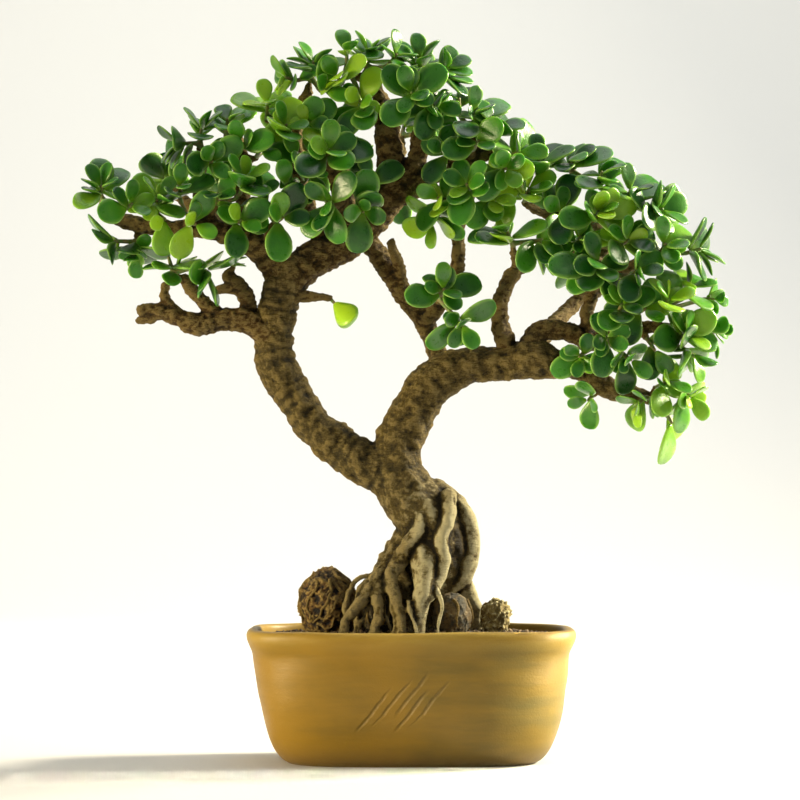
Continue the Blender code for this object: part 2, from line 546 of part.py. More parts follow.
def square_to(heading):
    """A level direction square to a heading."""
    return unit(np.cross(heading, (0, 0, 1) if abs(heading[2]) < 0.96 else (0, 1, 0)))


def lay_out_sprays(cloud):
    """Where each spray's twig and shoots run: {name: {"twig": run, "shoots": [Shoot]}}."""
    laid = {}
    for name, rows in SPRAYS.items():
        foot, tip, turn, size, pairs = rows[0]
        foot, tip = seen(*foot), seen(*tip)
        heading = unit(tip - foot)
        bare = FORK_ROOM if len(rows) > 1 else FORK_RISE
        length = max(np.linalg.norm(tip - foot), leafy_length(size, pairs) + bare)
        foot = tip - heading * length
        shift = way_clear(foot, tip, LEAST_TWIG, cloud)
        foot, tip = foot + shift, tip + shift
        main = Shoot(heading, turn, size, pairs)
        across = square_to(heading)
        run, thickness, facing = twig_to(foot, heading, cloud)
        main.rings.append(facing_ring(foot + facing * SEAT_GAP, heading, main.turn, STEM_RADIUS, facing))
        if len(rows) > 1:
            for rise in (FORK_RISE, FORK_RISE + SEAT_HEIGHT):
                main.rings.append(square_ring(foot + heading * rise, heading, across, main.turn, STEM_RADIUS))
        main.climb(tip, across, main.turn, 0)
        course = unit(run[1] - run[0])
        twig = [facing_ring(run[0], heading, main.turn, thickness, course),
                facing_ring(run[1], heading, main.turn, STEM_RADIUS, facing)]
        laid[name] = {"twig": twig, "shoots": [main]}
        for row in rows[1:]:
            laid[name]["shoots"].append(side_shoot(main, *row, cloud))
    return laid


def leafy_length(size, pairs):
    return (pairs - 1) * PAIR_SPACING * size + SEAT_HEIGHT


def way_clear(foot, tip, room, cloud):
    """How far a straight stem from foot to tip is moved, so that none of the wood is nearer than room."""
    samples = foot + np.linspace(0, 1, 8)[:, None] * (tip - foot)
    shift = np.zeros(3)
    for _ in range(STEM_MOVES):
        offsets = (samples + shift)[:, None] - cloud[0]
        gaps = np.linalg.norm(offsets, axis=2) - cloud[1]
        sample, point = np.unravel_index(np.argmin(gaps), gaps.shape)
        if gaps[sample, point] >= room:
            break
        shift = shift + unit(offsets[sample, point]) * (room - gaps[sample, point] + 0.05)
    return shift


def side_shoot(main, foot, tip, turn, size, pairs, cloud):
    """A shoot that grows low down from a free side of the main stem, and turns slowly to its leaves' turn."""
    foot, tip = seen(*foot), seen(*tip)
    shoot = Shoot(unit(tip - foot), turn, size, pairs)
    foot = tip - shoot.heading * max(np.linalg.norm(tip - foot), leafy_length(size, pairs) + 1)
    shift = way_clear(foot, tip, LEAST_STEM_ROOM, cloud)
    foot, tip = foot + shift, tip + shift
    free = [side for side in range(4) if side not in main.sides]
    middles = {side: main.seat_corners(1, side).mean(axis=0) for side in free}
    axis = (main.rings[1].mean(axis=0) + main.rings[2].mean(axis=0)) / 2
    side = max(free, key=lambda each: unit(middles[each] - axis) @ unit(foot - middles[each]))
    main.sides[side] = shoot
    corners = main.seat_corners(1, side)
    shoot.rings.append(corners)
    across = corners[0] - corners[1]
    across = unit(across - shoot.heading * (across @ shoot.heading))
    level = square_to(shoot.heading)
    wanted = math.cos(shoot.turn) * level + math.sin(shoot.turn) * np.cross(shoot.heading, level)
    angle = math.atan2(wanted @ np.cross(shoot.heading, across), wanted @ across)
    quarter = round(angle / (math.pi / 2))
    angle -= quarter * math.pi / 2
    entry = unit(foot - middles[side])
    bend = unit(entry + shoot.heading)
    bent = unit(across - bend * (across @ bend))
    if np.linalg.norm(foot - middles[side]) > SIDE_SHOOT_BEND_ROOM:
        shoot.rings.append(square_ring(foot, bend, bent, angle / 2, STEM_RADIUS))
    shoot.climb(tip, across, angle, quarter)
    return shoot


def half_width(u):
    """Half the leaf's width as a share of its length, widest past its middle, on a neck."""
    u = np.clip(u, 0, 1)
    blade = np.sin(math.pi * u**1.3) ** 0.65 * LEAF_WIDTH_SHARE / 2
    return np.maximum(blade, 0.07 * (1 - u))


def leaf_point(leaf, u, v, w):
    """Points of a leaf: u along it, v across and w up, as shares of half its width and half its thickness.
    It bends down by the square of u and cups by the square of its width."""
    origin, along, across, up, length = leaf
    side = half_width(u) * v
    rise = LEAF_BEND * u**2 + 0.5 * side**2 / LEAF_WIDTH_SHARE + w * LEAF_THICKNESS_SHARE / 2
    offset = np.multiply.outer(u, along) + np.multiply.outer(side, across) + np.multiply.outer(rise, up)
    return origin + length * offset


# Where a leaf is probed for what it would cross, and which probes lie clear of its own stem.
PROBE_GRID = np.meshgrid((0.08, 0.25, 0.42, 0.59, 0.76, 0.9, 1.0), (-1, -0.5, 0, 0.5, 1))
PROBE_U, PROBE_V = (grid.ravel() for grid in PROBE_GRID)
OUTER_PROBES = PROBE_U > 0.2


def leaf_probes(leaf):
    return leaf_point(leaf, PROBE_U, PROBE_V, np.zeros(len(PROBE_U)))


def reaches_into(probes, leaf):
    """Whether any probe lies in the leaf's solid, counting the probes' own thickness and the clearance."""
    origin, along, across, up, length = leaf
    local = (probes - origin) @ np.column_stack([along, across, up]) / length
    margin = LEAF_CLEARANCE / length
    side = np.abs(local[..., 1])
    rise = LEAF_BEND * local[..., 0] ** 2 + 0.5 * local[..., 1] ** 2 / LEAF_WIDTH_SHARE
    near = (local[..., 0] > -margin) & (local[..., 0] < 1 + margin + LEAF_MARGIN_SHARE)
    near &= side < half_width(local[..., 0]) + margin + LEAF_MARGIN_SHARE
    return near & (np.abs(local[..., 2] - rise) < LEAF_THICKNESS_SHARE + margin)


def leaf_frame(origin, axis, side, lift, length):
    """A leaf on its stem at origin: side is square to the stem's axis, and lift is the angle off the axis."""
    along = unit(axis * math.cos(lift) + side * math.sin(lift))
    up = unit(axis - along * (axis @ along))
    return origin, along, np.cross(up, along), up, length


def is_clear(leaf, shoot, placed, wood):
    """Whether a leaf crosses no limb, stem or leaf. Near its own stem only its outer part is tested."""
    probes = leaf_probes(leaf)
    points, radii, owners = wood
    keep = np.linalg.norm(points - leaf[0], axis=1) < leaf[4] * 1.3 + 15
    points, radii, owners = points[keep], radii[keep], owners[keep]
    half_thickness = leaf[4] * LEAF_THICKNESS_SHARE / 2
    gap = np.linalg.norm(probes[:, None] - points[None], axis=2) - radii - half_thickness
    tested = OUTER_PROBES[:, None] | (owners != shoot)[None]
    if (gap[tested] < LEAF_CLEARANCE).any():
        return False
    for other, other_shoot, other_probes in placed:
        if np.linalg.norm(other[0] - leaf[0]) > (other[4] + leaf[4]) * 1.05:
            continue
        same = other_shoot == shoot
        mine = probes[OUTER_PROBES] if same else probes
        theirs = other_probes[OUTER_PROBES] if same else other_probes
        if reaches_into(mine, other).any() or reaches_into(theirs, leaf).any():
            return False
    return True


# The ways a leaf may be turned to grow clear of its neighbours, from the plainest on: size, lift and swing.
LEAF_TRIES = [(share, math.radians(lift), math.radians(swing)) for share in (1, 0.84, 0.7)
              for lift in (0, -16, 16, -30) for swing in (0, 18, -18, 36, -36)]


def grow_leaves(laid, cloud):
    """Gives every shoot its leaves in crossed pairs, as {(ring, side): leaf}. With no room, none is grown."""
    shoots = [shoot for spray in laid.values() for shoot in spray["shoots"]]
    runs = [cloud] + [densified(*spine(spray["twig"])) for spray in laid.values()]
    owners = [-1] * len(runs) + list(range(len(shoots)))
    runs += [densified(*spine(shoot.rings)) for shoot in shoots]
    wood = (
        np.vstack([points for points, _ in runs]),
        np.concatenate([radii for _, radii in runs]),
        np.concatenate([np.full(len(points), owner) for (points, _), owner in zip(runs, owners)]),
    )
    placed = []
    for index, shoot in enumerate(shoots):
        shoot.leaves = {}
        for number, (ring, parity) in enumerate(shoot.seats):
            youth = number / (shoot.pairs - 1) if shoot.pairs > 1 else 0
            lift = OLD_LEAF_LIFT + (YOUNG_LEAF_LIFT - OLD_LEAF_LIFT) * (youth if shoot.pairs > 1 else 1)
            length = LEAF_LENGTH * shoot.size * (1 - (1 - BUD_LEAF_SHARE) * youth)
            for side in (parity, parity + 2):
                leaf = fitting_leaf(shoot, ring, side, math.radians(lift), length, index, placed, wood)
                if leaf:
                    placed.append((leaf, index, leaf_probes(leaf)))
                    shoot.leaves[ring, side] = leaf


def densified(points, radii):
    """A run with its points a fifth as far apart."""
    t = np.linspace(0, len(points) - 1, 5 * len(points) - 4)
    whole = np.arange(len(points))
    fine = np.column_stack([np.interp(t, whole, points[:, axis]) for axis in range(3)])
    return fine, np.interp(t, whole, radii)


def fitting_leaf(shoot, ring, side, lift, length, index, placed, wood):
    """The first way of turning a leaf on its seat that leaves it clear of everything, or none."""
    corners = shoot.seat_corners(ring, side)
    origin = corners.mean(axis=0)
    outward = unit(origin - (shoot.rings[ring].mean(axis=0) + shoot.rings[ring + 1].mean(axis=0)) / 2)
    outward = unit(outward - shoot.heading * (outward @ shoot.heading))
    level = np.cross(shoot.heading, outward)
    for shrink, more, swing in LEAF_TRIES:
        leaf = leaf_frame(origin, shoot.heading, math.cos(swing) * outward + math.sin(swing) * level,
                          lift + more, length * shrink)
        if is_clear(leaf, index, placed, wood):
            return leaf
    return None


# A leaf's corners: three up each edge, then the middle of its upper face and of its lower face.
LEAF_EDGE_U = (0.22, 0.6, 0.94)
LEAF_MIDDLE_U = 0.56
LEAF_U = np.array((*LEAF_EDGE_U, *reversed(LEAF_EDGE_U), LEAF_MIDDLE_U, LEAF_MIDDLE_U))
LEAF_V = np.array((1, 1, 1, -1, -1, -1, 0, 0), float)
LEAF_W = np.array((0, 0, 0, 0, 0, 0, 1, -1), float)


def skin_leaf(leaf, seat, points, faces):
    """Adds a leaf that grows out of its seat, the four corners of a side of the stem."""
    first = len(points)
    points.extend(leaf_point(leaf, LEAF_U, LEAF_V, LEAF_W))
    edge = list(range(first, first + 6))
    top, bottom = first + 6, first + 7
    upper = [seat[3], *reversed(edge), seat[2]]
    lower = [seat[1], *edge, seat[0]]
    faces.extend((top, start, end) for start, end in zip(upper, upper[1:] + upper[:1]))
    faces.extend((bottom, start, end) for start, end in zip(lower, lower[1:] + lower[:1]))
    faces.append((seat[2], edge[0], seat[1]))
    faces.append((seat[0], edge[5], seat[3]))


def skin_shoot(shoot, points, faces, foot=None):
    """Adds a shoot: its square stem, its leaves, and the shoots that grow from its sides. Foot holds the
    corners of the seat that a side shoot stands on."""
    first = len(points)
    rings = shoot.rings if foot is None else shoot.rings[1:]
    points.extend(corner for ring in rings for corner in ring)
    corners = [list(range(first + 4 * row, first + 4 * row + 4)) for row in range(len(rings))]
    if foot is None:
        faces.append(tuple(reversed(corners[0])))
    else:
        corners.insert(0, foot)
    faces.append(tuple(corners[-1]))
    for row, (low, high) in enumerate(zip(corners, corners[1:])):
        for side in range(4):
            seat = [low[side - 1], low[side], high[side], high[side - 1]]
            if (row, side) in shoot.leaves:
                skin_leaf(shoot.leaves[row, side], seat, points, faces)
            elif row == 1 and side in shoot.sides:
                skin_shoot(shoot.sides[side], points, faces, seat)
            else:
                faces.append(tuple(seat))


def make_spray(name, shoots, finish):
    """A spray: leaves and stems in one skin, each leaf grown out of a side of its stem."""
    points, faces = [], []
    skin_shoot(shoots[0], points, faces)
    return dress(mesh_object(name, points, faces), name, finish)


def make_tree(laid, finish):
    """The trunk with its limbs, twigs and roots, fused, since they grew as one piece."""
    pieces = []
    for name in LIMBS:
        points, radii = limb_run(name)
        pieces.append(tube(points, radii, THICK_LIMB_SIDES if max(radii) > THICK_LIMB else THIN_LIMB_SIDES))
    for name in ROOTS:
        pieces.append(tube(*root_run(name), ROOT_SIDES))
    for spray in laid.values():
        pieces.append(loft(np.array(spray["twig"]), "twig"))
    return dress(combine(pieces[0], "UNION", pieces[1:]), "tree", finish)


def main():
    for old in list(bpy.data.objects):
        bpy.data.objects.remove(old)
    glaze = finish_material("ochre_glaze", (0.42, 0.22, 0.045), 0.5)
    earth = finish_material("dark_soil", (0.045, 0.03, 0.018), 0.95)
    bark = finish_material("grey_brown_bark", (0.16, 0.115, 0.06), 0.85)
    lava = finish_material("brown_lava_stone", (0.09, 0.06, 0.035), 0.9)
    leaf_green = finish_material("jade_leaf", (0.06, 0.22, 0.03), 0.35)
    make_pot(glaze)
    make_soil(earth)
    for name in STONES:
        dress(make_stone(name), name, lava)
    cloud = limb_points()
    laid = lay_out_sprays(cloud)
    make_tree(laid, bark)
    grow_leaves(laid, cloud)
    for name, spray in laid.items():
        make_spray(name, spray["shoots"], leaf_green)


main()
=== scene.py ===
"""A jade bonsai in a low glazed pot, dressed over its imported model.

Lengths in the tables are millimetres and become metres where a mesh is made. The tables' x and z
are read as the tree is seen from the front, in the plane of the trunk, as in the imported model.
"""

import math

import bmesh
import bpy
import numpy as np
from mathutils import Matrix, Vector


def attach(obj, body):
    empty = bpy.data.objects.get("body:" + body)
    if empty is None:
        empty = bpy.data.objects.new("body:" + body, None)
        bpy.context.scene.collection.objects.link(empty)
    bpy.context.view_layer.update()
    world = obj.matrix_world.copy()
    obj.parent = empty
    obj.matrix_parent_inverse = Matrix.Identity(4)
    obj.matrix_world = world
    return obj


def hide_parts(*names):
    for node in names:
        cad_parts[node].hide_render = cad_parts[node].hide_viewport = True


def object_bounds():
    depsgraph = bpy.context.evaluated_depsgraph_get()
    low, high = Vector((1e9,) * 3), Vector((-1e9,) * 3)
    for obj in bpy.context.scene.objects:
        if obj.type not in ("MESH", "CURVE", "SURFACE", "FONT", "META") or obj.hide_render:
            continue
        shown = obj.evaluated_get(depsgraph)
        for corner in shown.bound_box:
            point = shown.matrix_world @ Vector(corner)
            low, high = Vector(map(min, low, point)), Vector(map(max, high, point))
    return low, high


bl_info = {
    "name": "Jade Bonsai",
    "version": (1, 0, 0),
    "blender": (4, 5, 0),
    "location": "View3D > Sidebar > Bonsai",
    "description": "Bark, leaves, glaze, soil and stones for a jade bonsai",
    "category": "Add Mesh",
}

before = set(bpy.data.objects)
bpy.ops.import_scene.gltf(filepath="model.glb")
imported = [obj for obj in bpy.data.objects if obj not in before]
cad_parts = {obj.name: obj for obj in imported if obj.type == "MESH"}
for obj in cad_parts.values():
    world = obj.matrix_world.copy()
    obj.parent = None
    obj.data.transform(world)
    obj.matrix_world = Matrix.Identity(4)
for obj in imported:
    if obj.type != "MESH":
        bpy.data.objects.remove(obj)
model_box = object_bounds()

MM = 0.001
BODY = "root"

# The viewpoint that the tables are read from, and how far the pot's near foot edge drops below zero there.
EYE_X = -6.6
EYE_DISTANCE = 1500.0
EYE_HEIGHT = 150.0
NEAR_EDGE_DROP = 5.0

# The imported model's box, in millimetres, and how far leaves end inside it.
BOX_LOW, BOX_HIGH = np.array(model_box) / MM
BOX_EDGE = 0.1

# The pot's plan is a rounded oblong, |x/a|^n + |y/b|^n = 1, with n its power.
RIM_HALF_WIDTH = 90.0
RIM_HALF_DEPTH = 62.0
RIM_HEIGHT = 73.0
PLAN_POWER = 3.4
FLOOR_HEIGHT = 8.0
DRAIN_HOLE_X = 38.0
DRAIN_HOLE_RADIUS = 7.0
CHANNEL_WIDTH = 6.0
CHANNEL_DEPTH = 2.5
HOLE_SIDES = 32
CUTTER_REACH = 2.0
POT_SIDES = 220
POT_ROWS = 110
POT_EDGE_ANGLE = math.radians(50)
POT_SLACK = 0.35

# The pot's sides as (inset, height): the outer one from the foot to the lip, as the glaze rounds it, and the
# inner one from the lip to the floor.
OUTER_SIDE = [(22.2, 0), (17.8, 3), (13.2, 10), (8.2, 25), (4.9, 43), (3.7, 55), (3.0, 60), (1.7, 63.5),
              (0.5, 67), (0.3, 70), (1.3, 72.2), (3.3, RIM_HEIGHT), (5.0, RIM_HEIGHT)]
INNER_SIDE = [(6.6, 71.5), (7.4, 65), (11, 44), (17, 21), (24, 10.5), (31, FLOOR_HEIGHT)]

# The soil: its surface, its underside as (inset, height), and its clods and loose grains.
SOIL_EDGE_HEIGHT = 67.0
SOIL_CROWN = 3.0
SOIL_INSET = 8.0
SOIL_UNDERSIDE = [(31.4, 8.6), (24.5, 11.2), (17.5, 21.5), (11.5, 44.5)]
SOIL_SIDES = 180
SOIL_RINGS = 60
GRAIN_INSET = 1.2
GRAIN_SIZE = 1.9
CLOD_HEIGHT = 0.8

# How far roots keep from the stones, and fine roots as a share of their radius.
ROOT_GAP = 0.4
FINE_ROOT_BED = 0.3

# How far apart the points of each kind of course lie, and how its corners are rounded.
ROOT_STEP = 12.0
LIMB_STEP = 15.5
FINE_ROOT_STEP = 4.0
SKIN_STEP = 0.9
CLOUD_STEP = 2.5
STRAND_STEP = 0.8
ROUNDING_REACH = 3.0
ROUNDING_PASSES = 2

# The fine roots that cling to the stones: corners round them, points along them, and how bare they look.
STRAND_SIDES = 7
STRAND_POINTS = 70
STRAND_WEAR = 0.15

# The wood's skin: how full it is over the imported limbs, how many points its rings drift at along a limb, how
# far apart its knobs are, the rings that close a tube, and how much calmer it is where it is bare.
LIMB_FULLNESS = 1.06
DRIFT_KNOTS = 12
KNOB_SPACING = 9.0
DOME_TURNS = np.radians([35.0, 62.0, 82.0])[:, None, None]
DOME_HEIGHT = 0.6
CALM_SHARE = 0.7

# How many waves make the noise, how far round a corner its height is measured on wood and on stone, and how
# strongly that height counts.
NOISE_WAVES = 16
WOOD_PASSES = 14
STONE_PASSES = 16
RELIEF_GAIN = 1.6

# The bark's middle colour on each of its pieces.
WARM_BARK = {"trunk_bark": (0.098, 0.068, 0.016), "limb_bark": (0.080, 0.044, 0.008),
             "root_bark": (0.26, 0.17, 0.045)}

# How far apart and how deep the rings of scars are on each part of the wood.
RINGS = {"trunk": (16.0, 0.25), "left_limb": (8.6, 1.35), "right_limb": (13.0, 0.5), "root": (16.0, 0.12),
         "fine_root": (12.0, 0.1), "branch": (6.2, 1.1), "twig": (3.2, 0.22)}

# A twig's radius at its limb at most, at its spray's foot and inside the spray, and how far it goes in.
TWIG_RADII = (2.9, 1.75, 1.5)
TWIG_REACH = 0.9

# Each limb: points (x, depth, z, radius) as seen from the front.
LIMBS = {
    "trunk": [(13, 4, 74, 8), (13, 3, 92, 9), (14, 1, 108, 14), (13, 0, 122, 17), (8, 0, 138, 16.5),
              (-3, 0, 152, 15), (-12, 0, 165, 13)],
    "left_limb": [(-8, 0, 158, 12), (-28, 0, 169, 11), (-45, 1, 179, 10.5), (-57, 2, 192, 9.5),
                  (-67, 3, 207, 10), (-75, 3, 222, 10.5), (-76, 2, 238, 10), (-74, 1, 252, 10),
                  (-71, 0, 266, 10), (-68, 0, 277, 9.5)],
    "right_limb": [(-10, 0, 160, 13), (-8, -1, 178, 12.5), (-1, -2, 193, 12), (7, -3, 207, 11.5),
                   (19, -3, 218, 11), (35, -3, 222, 9), (52, -3, 222, 8.5), (66, -4, 226, 11),
                   (80, -4, 222, 7), (92, -3, 221, 6), (102, -2, 213, 5.5), (113, -2, 206, 5),
                   (126, -1, 205, 3.8), (136, 0, 201, 2.8)],
    "left_branch": [(-70, 0, 270, 9), (-80, -2, 283, 8), (-92, -4, 291, 6.2), (-108, -5, 296, 5.2),
                    (-125, -5, 297, 4.4), (-142, -4, 297, 4), (-158, -3, 301, 3.6), (-169, -3, 305, 3)],
    "apex_limb": [(-70, 0, 268, 10), (-56, 3, 279, 9.5), (-42, 5, 286, 9.2), (-30, 6, 295, 9),
                  (-19, 6, 306, 9), (-10, 4, 320, 8.5), (-12, 3, 336, 7.2), (-14, 2, 352, 6.6),
                  (-16, 2, 366, 4.5), (-22, 2, 378, 3)],
    "apex_fork": [(-6, 4, 320, 6), (3, 0, 335, 5.2), (6, -1, 350, 4.8), (7, 0, 362, 3.8), (10, 1, 372, 2.8)],
    "crown_right": [(-6, 5, 316, 7), (5, 4, 324, 6.5), (16, 2, 330, 5.2), (28, 1, 334, 4.2),
                    (40, 1, 337, 3.4), (48, 2, 345, 2.6)],
    "riser": [(17, 2, 219, 6), (12, 9, 234, 4.6), (6, 12, 247, 5), (-4, 14, 260, 5.2), (-13, 16, 273, 5.2),
              (-21, 19, 286, 5), (-30, 24, 299, 4.6), (-36, 30, 316, 4.2), (-38, 32, 334, 3.6),
              (-34, 28, 352, 3)],
    "inner_riser": [(8, 8, 246, 4.6), (16, 4, 256, 4.2), (24, 4, 268, 3.9), (26, 5, 283, 3.6),
                    (25, 6, 296, 3.3), (30, 7, 308, 2.9)],
    "side_riser": [(54, -3, 226, 6), (49, -4, 242, 4.6), (48, -2, 256, 4.2), (54, 4, 270, 3.8),
                   (66, 12, 282, 3.6), (78, 16, 296, 3.6), (84, 16, 310, 3.4), (84, 12, 321, 3)],
    "upper_knuckle": [(64, -4, 229, 7), (70, -3, 241, 5.6), (84, -3, 241, 5), (97, -3, 235, 4.6),
                      (108, -4, 236, 3.8), (120, -5, 241, 3.2), (134, -4, 243, 2.7), (146, 0, 241, 2.2)],
    "outer_riser": [(97, -3, 235, 4), (96, -1, 250, 3.5), (100, 2, 262, 3.2), (110, 4, 270, 3),
                    (122, 4, 277, 2.8), (136, 3, 284, 2.4)],
    "top_riser": [(101, 2, 262, 3.2), (104, 10, 278, 3), (108, 12, 292, 2.8), (114, 10, 302, 2.4)],
    "low_limb": [(-76, 0, 238, 8), (-90, -1, 246, 6.6), (-104, -2, 247, 5.6), (-119, -3, 243, 6),
                 (-130, -2, 249, 4.6), (-141, -2, 252, 3.8), (-150, -3, 252, 2.8)],
    "low_stub": [(-138, -2, 251, 3.2), (-145, -1, 247, 2.6), (-151, 0, 246, 2)],
    "low_peg": [(-131, -2, 250, 3.4), (-137, -3, 259, 2.8), (-136, -3, 266, 2.4)],
    "low_rise": [(-105, -2, 248, 4.4), (-114, -3, 255, 3.8), (-121, -3, 263, 3.4), (-125, -4, 269, 2.8)],
    "low_knob": [(-90, 0, 247, 4.8), (-90, 0, 258, 4.3), (-96, 0, 266, 4.2), (-102, 1, 270, 3.2)],
    "low_knob_peg": [(-93, 0, 262, 3), (-102, -1, 264, 2.6), (-109, -2, 263, 2)],
    "inner_stub": [(-72, -2, 256, 4), (-60, -3, 260, 3), (-52, -3, 259, 2.5)],
    "dead_twig": [(-5, 14, 262, 3.4), (-6, 10, 272, 3.2), (-9, 8, 282, 3), (-12, 7, 290, 2.2)],
    "left_rise_outer": [(-110, -5, 296, 4.4), (-116, -2, 310, 3.8), (-118, 1, 323, 3.3), (-115, 3, 336, 2.8)],
    "left_rise": [(-85, -2, 286, 5.4), (-91, 2, 304, 4.4), (-95, 4, 322, 3.9), (-94, 4, 338, 3.3),
                  (-97, 3, 348, 2.8)],
    "middle_rise": [(-45, 5, 285, 6), (-56, 5, 303, 5), (-62, 4, 322, 4.4), (-65, 4, 342, 3.8),
                    (-63, 4, 360, 3.2), (-58, 3, 371, 2.7)],
    "front_rise": [(-34, 4, 293, 6), (-36, -10, 303, 4.4), (-40, -18, 316, 3.8), (-44, -20, 328, 3)],
    "back_rise": [(-28, 8, 296, 6), (-22, 30, 306, 4.8), (-16, 52, 322, 4), (-6, 66, 340, 3.2)],
    "back_left": [(-92, -2, 291, 5), (-104, 20, 298, 4.2), (-118, 38, 306, 3.6), (-130, 48, 316, 2.8)],
    "back_right": [(60, -2, 226, 6), (70, 22, 236, 4.8), (84, 44, 250, 4), (100, 58, 266, 3.2)],
}

# Each root: points (x, depth, z, radius) as seen from the front. They end below the soil's surface.
ROOTS = {
    "root_front_left": [(-3, -2, 127, 7), (-12, -7, 114, 5.2), (-20, -16, 103, 3.6), (-27, -24, 92, 2.8),
                        (-36, -30, 82, 2.5), (-40, -32, 68, 2.4)],
    "root_strap": [(-8, 0, 120, 7), (-16, -8, 108, 5), (-19, -20, 97, 3.2), (-18, -28, 86, 2.6),
                   (-21, -32, 68, 2.5)],
    "root_cross": [(-4, -10, 118, 5), (-12, -20, 104, 3.4), (-9, -27, 92, 2.6), (-5, -31, 82, 2.5),
                   (-6, -33, 68, 2.4)],
    "root_front": [(6, -6, 126, 8), (7, -16, 113, 7), (7, -22, 100, 5.4), (4, -26, 88, 4.4),
                   (2, -28, 68, 4.2)],
    "root_ridge": [(20, -8, 150, 4.6), (20, -15, 137, 4), (15, -17, 125, 3.8), (18, -17, 114, 3.8),
                   (14, -19, 104, 3.6), (9, -24, 94, 3.2)],
    "root_fold": [(6, -12, 143, 4), (4, -16, 131, 3.8), (-3, -16, 122, 3.8), (-8, -14, 112, 3.6)],
    "root_bow": [(10, 0, 153, 7), (22, 0, 147, 6.2), (30, -1, 136, 5.8), (32, -2, 123, 5.8),
                 (30, -3, 111, 5.6), (23, -3, 102, 5.2), (14, -2, 98, 6)],
    "root_bow_inner": [(16, 2, 138, 8.5), (22, 1, 126, 6.4), (22, 0, 114, 5.8), (17, 0, 103, 6.4)],
    "root_right": [(26, -2, 108, 5), (30, 3, 98, 4.4), (34, 12, 88, 4), (37, 20, 68, 3.6)],
    "root_back_left": [(4, 8, 120, 7), (-9, 20, 108, 5.6), (-20, 30, 94, 4.6), (-24, 36, 68, 4)],
    "root_back": [(14, 8, 116, 8), (16, 20, 104, 6), (15, 31, 90, 5), (14, 38, 68, 4.2)],
}

# The limbs that share the trunk's skin.
GREAT_LIMBS = ("trunk", "left_limb", "right_limb")

# Fine roots round the foot of the trunk, as points (x, depth, z, radius). The last three back the others.
FINE_ROOTS = [
    [(-18, -14, 105, 1.7), (-25, -18, 103, 1.4), (-31, -19, 95, 1.2), (-30, -22, 83, 1.1),
     (-33, -26, 68, 0.9)],
    [(-20, -12, 106, 1.6), (-29, -12, 105, 1.4), (-35, -14, 96, 1.2), (-37, -18, 84, 1.1),
     (-38, -20, 68, 0.9)],
    [(-14, -14, 108, 1.5), (-22, -18, 98, 1.0), (-24, -22, 88, 0.8), (-29, -25, 78, 0.8),
     (-30, -27, 68, 0.8)],
    [(-12, -18, 103, 1.3), (-15, -22, 95, 0.9), (-15, -24, 84, 0.8), (-11, -27, 76, 0.8),
     (-13, -30, 68, 0.8)],
    [(-21, -20, 98, 1.2), (-17, -23, 90, 0.8), (-21, -24, 80, 0.8), (-25, -28, 72, 0.8), (-24, -30, 66, 0.8)],
    [(-8, -22, 100, 1.3), (-12, -26, 90, 1.0), (-9, -30, 80, 0.9), (-13, -33, 68, 0.8)],
    [(12, -22, 100, 1.8), (15, -26, 95, 1.3), (17, -28, 88, 1.0), (14, -30, 79, 0.9), (15, -31, 68, 0.8)],
    [(-2, -28, 92, 1.3), (-1, -32, 84, 1.0), (3, -34, 76, 0.9), (1, -35, 68, 0.8)],
    [(2, 4, 120, 7.5), (-2, 10, 106, 7.0), (-3, 15, 92, 6.5), (-4, 17, 68, 6.0)],
    [(14, 8, 140, 8.0), (23, 8, 128, 8.0), (24, 8, 114, 7.5), (18, 8, 100, 7.0)],
    [(-14, 10, 108, 4.5), (-25, 14, 98, 4.4), (-29, 16, 84, 4.4), (-29, 16, 66, 4.0)],
]

# Each stone: middle (x, depth, z) as seen from the front, half sizes, and how deep its hollows are.
STONES = {
    "stone_left": ((-46, 2, 90), (17.5, 20, 21.5), 0.10),
    "stone_middle": ((-18, -6, 87), (10.5, 15, 17), 0.08),
    "stone_right": ((22, -14, 84), (11.5, 10, 13), 0.05),
    "stone_small": ((46, 0, 83), (9.5, 10, 12), 0.09),
}

# Each stone's paint: its name, how much painted shade darkens each pit, its dark, warm and pale colours, the
# pale one painted on crests as highlight. Then how many fine roots cling to it. The small stone's colours are
# set pale, partly to stand in for the sun on it.
STONE_LOOKS = {
    "stone_left": ("rust_stone", 1.0, (0.030, 0.018, 0.004), (0.12, 0.06, 0.009), (0.30, 0.20, 0.05), 22),
    "stone_middle": ("slate_stone", 1.0, (0.024, 0.022, 0.014), (0.075, 0.052, 0.018), (0.20, 0.17, 0.09),
                     10),
    "stone_right": ("smooth_stone", 0.7, (0.060, 0.054, 0.034), (0.16, 0.105, 0.035), (0.36, 0.31, 0.17), 3),
    "stone_small": ("pale_stone", 0.25, (0.24, 0.18, 0.06), (0.45, 0.35, 0.12), (0.80, 0.72, 0.38), 5),
}
SMOOTH_STONE_HOLLOW = 0.06
STONE_SUBDIVISIONS = 6

# Where the low sun shines through the leaves: x and z as seen from the front, and reach.
SUNLIT_PLACES = [(-76, 360, 18), (-120, 282, 14), (-146, 305, 12), (140, 182, 20), (60, 314, 14),
                 (-30, 382, 12), (112, 300, 10), (158, 212, 16), (8, 300, 14), (-44, 250, 16), (150, 258, 14)]

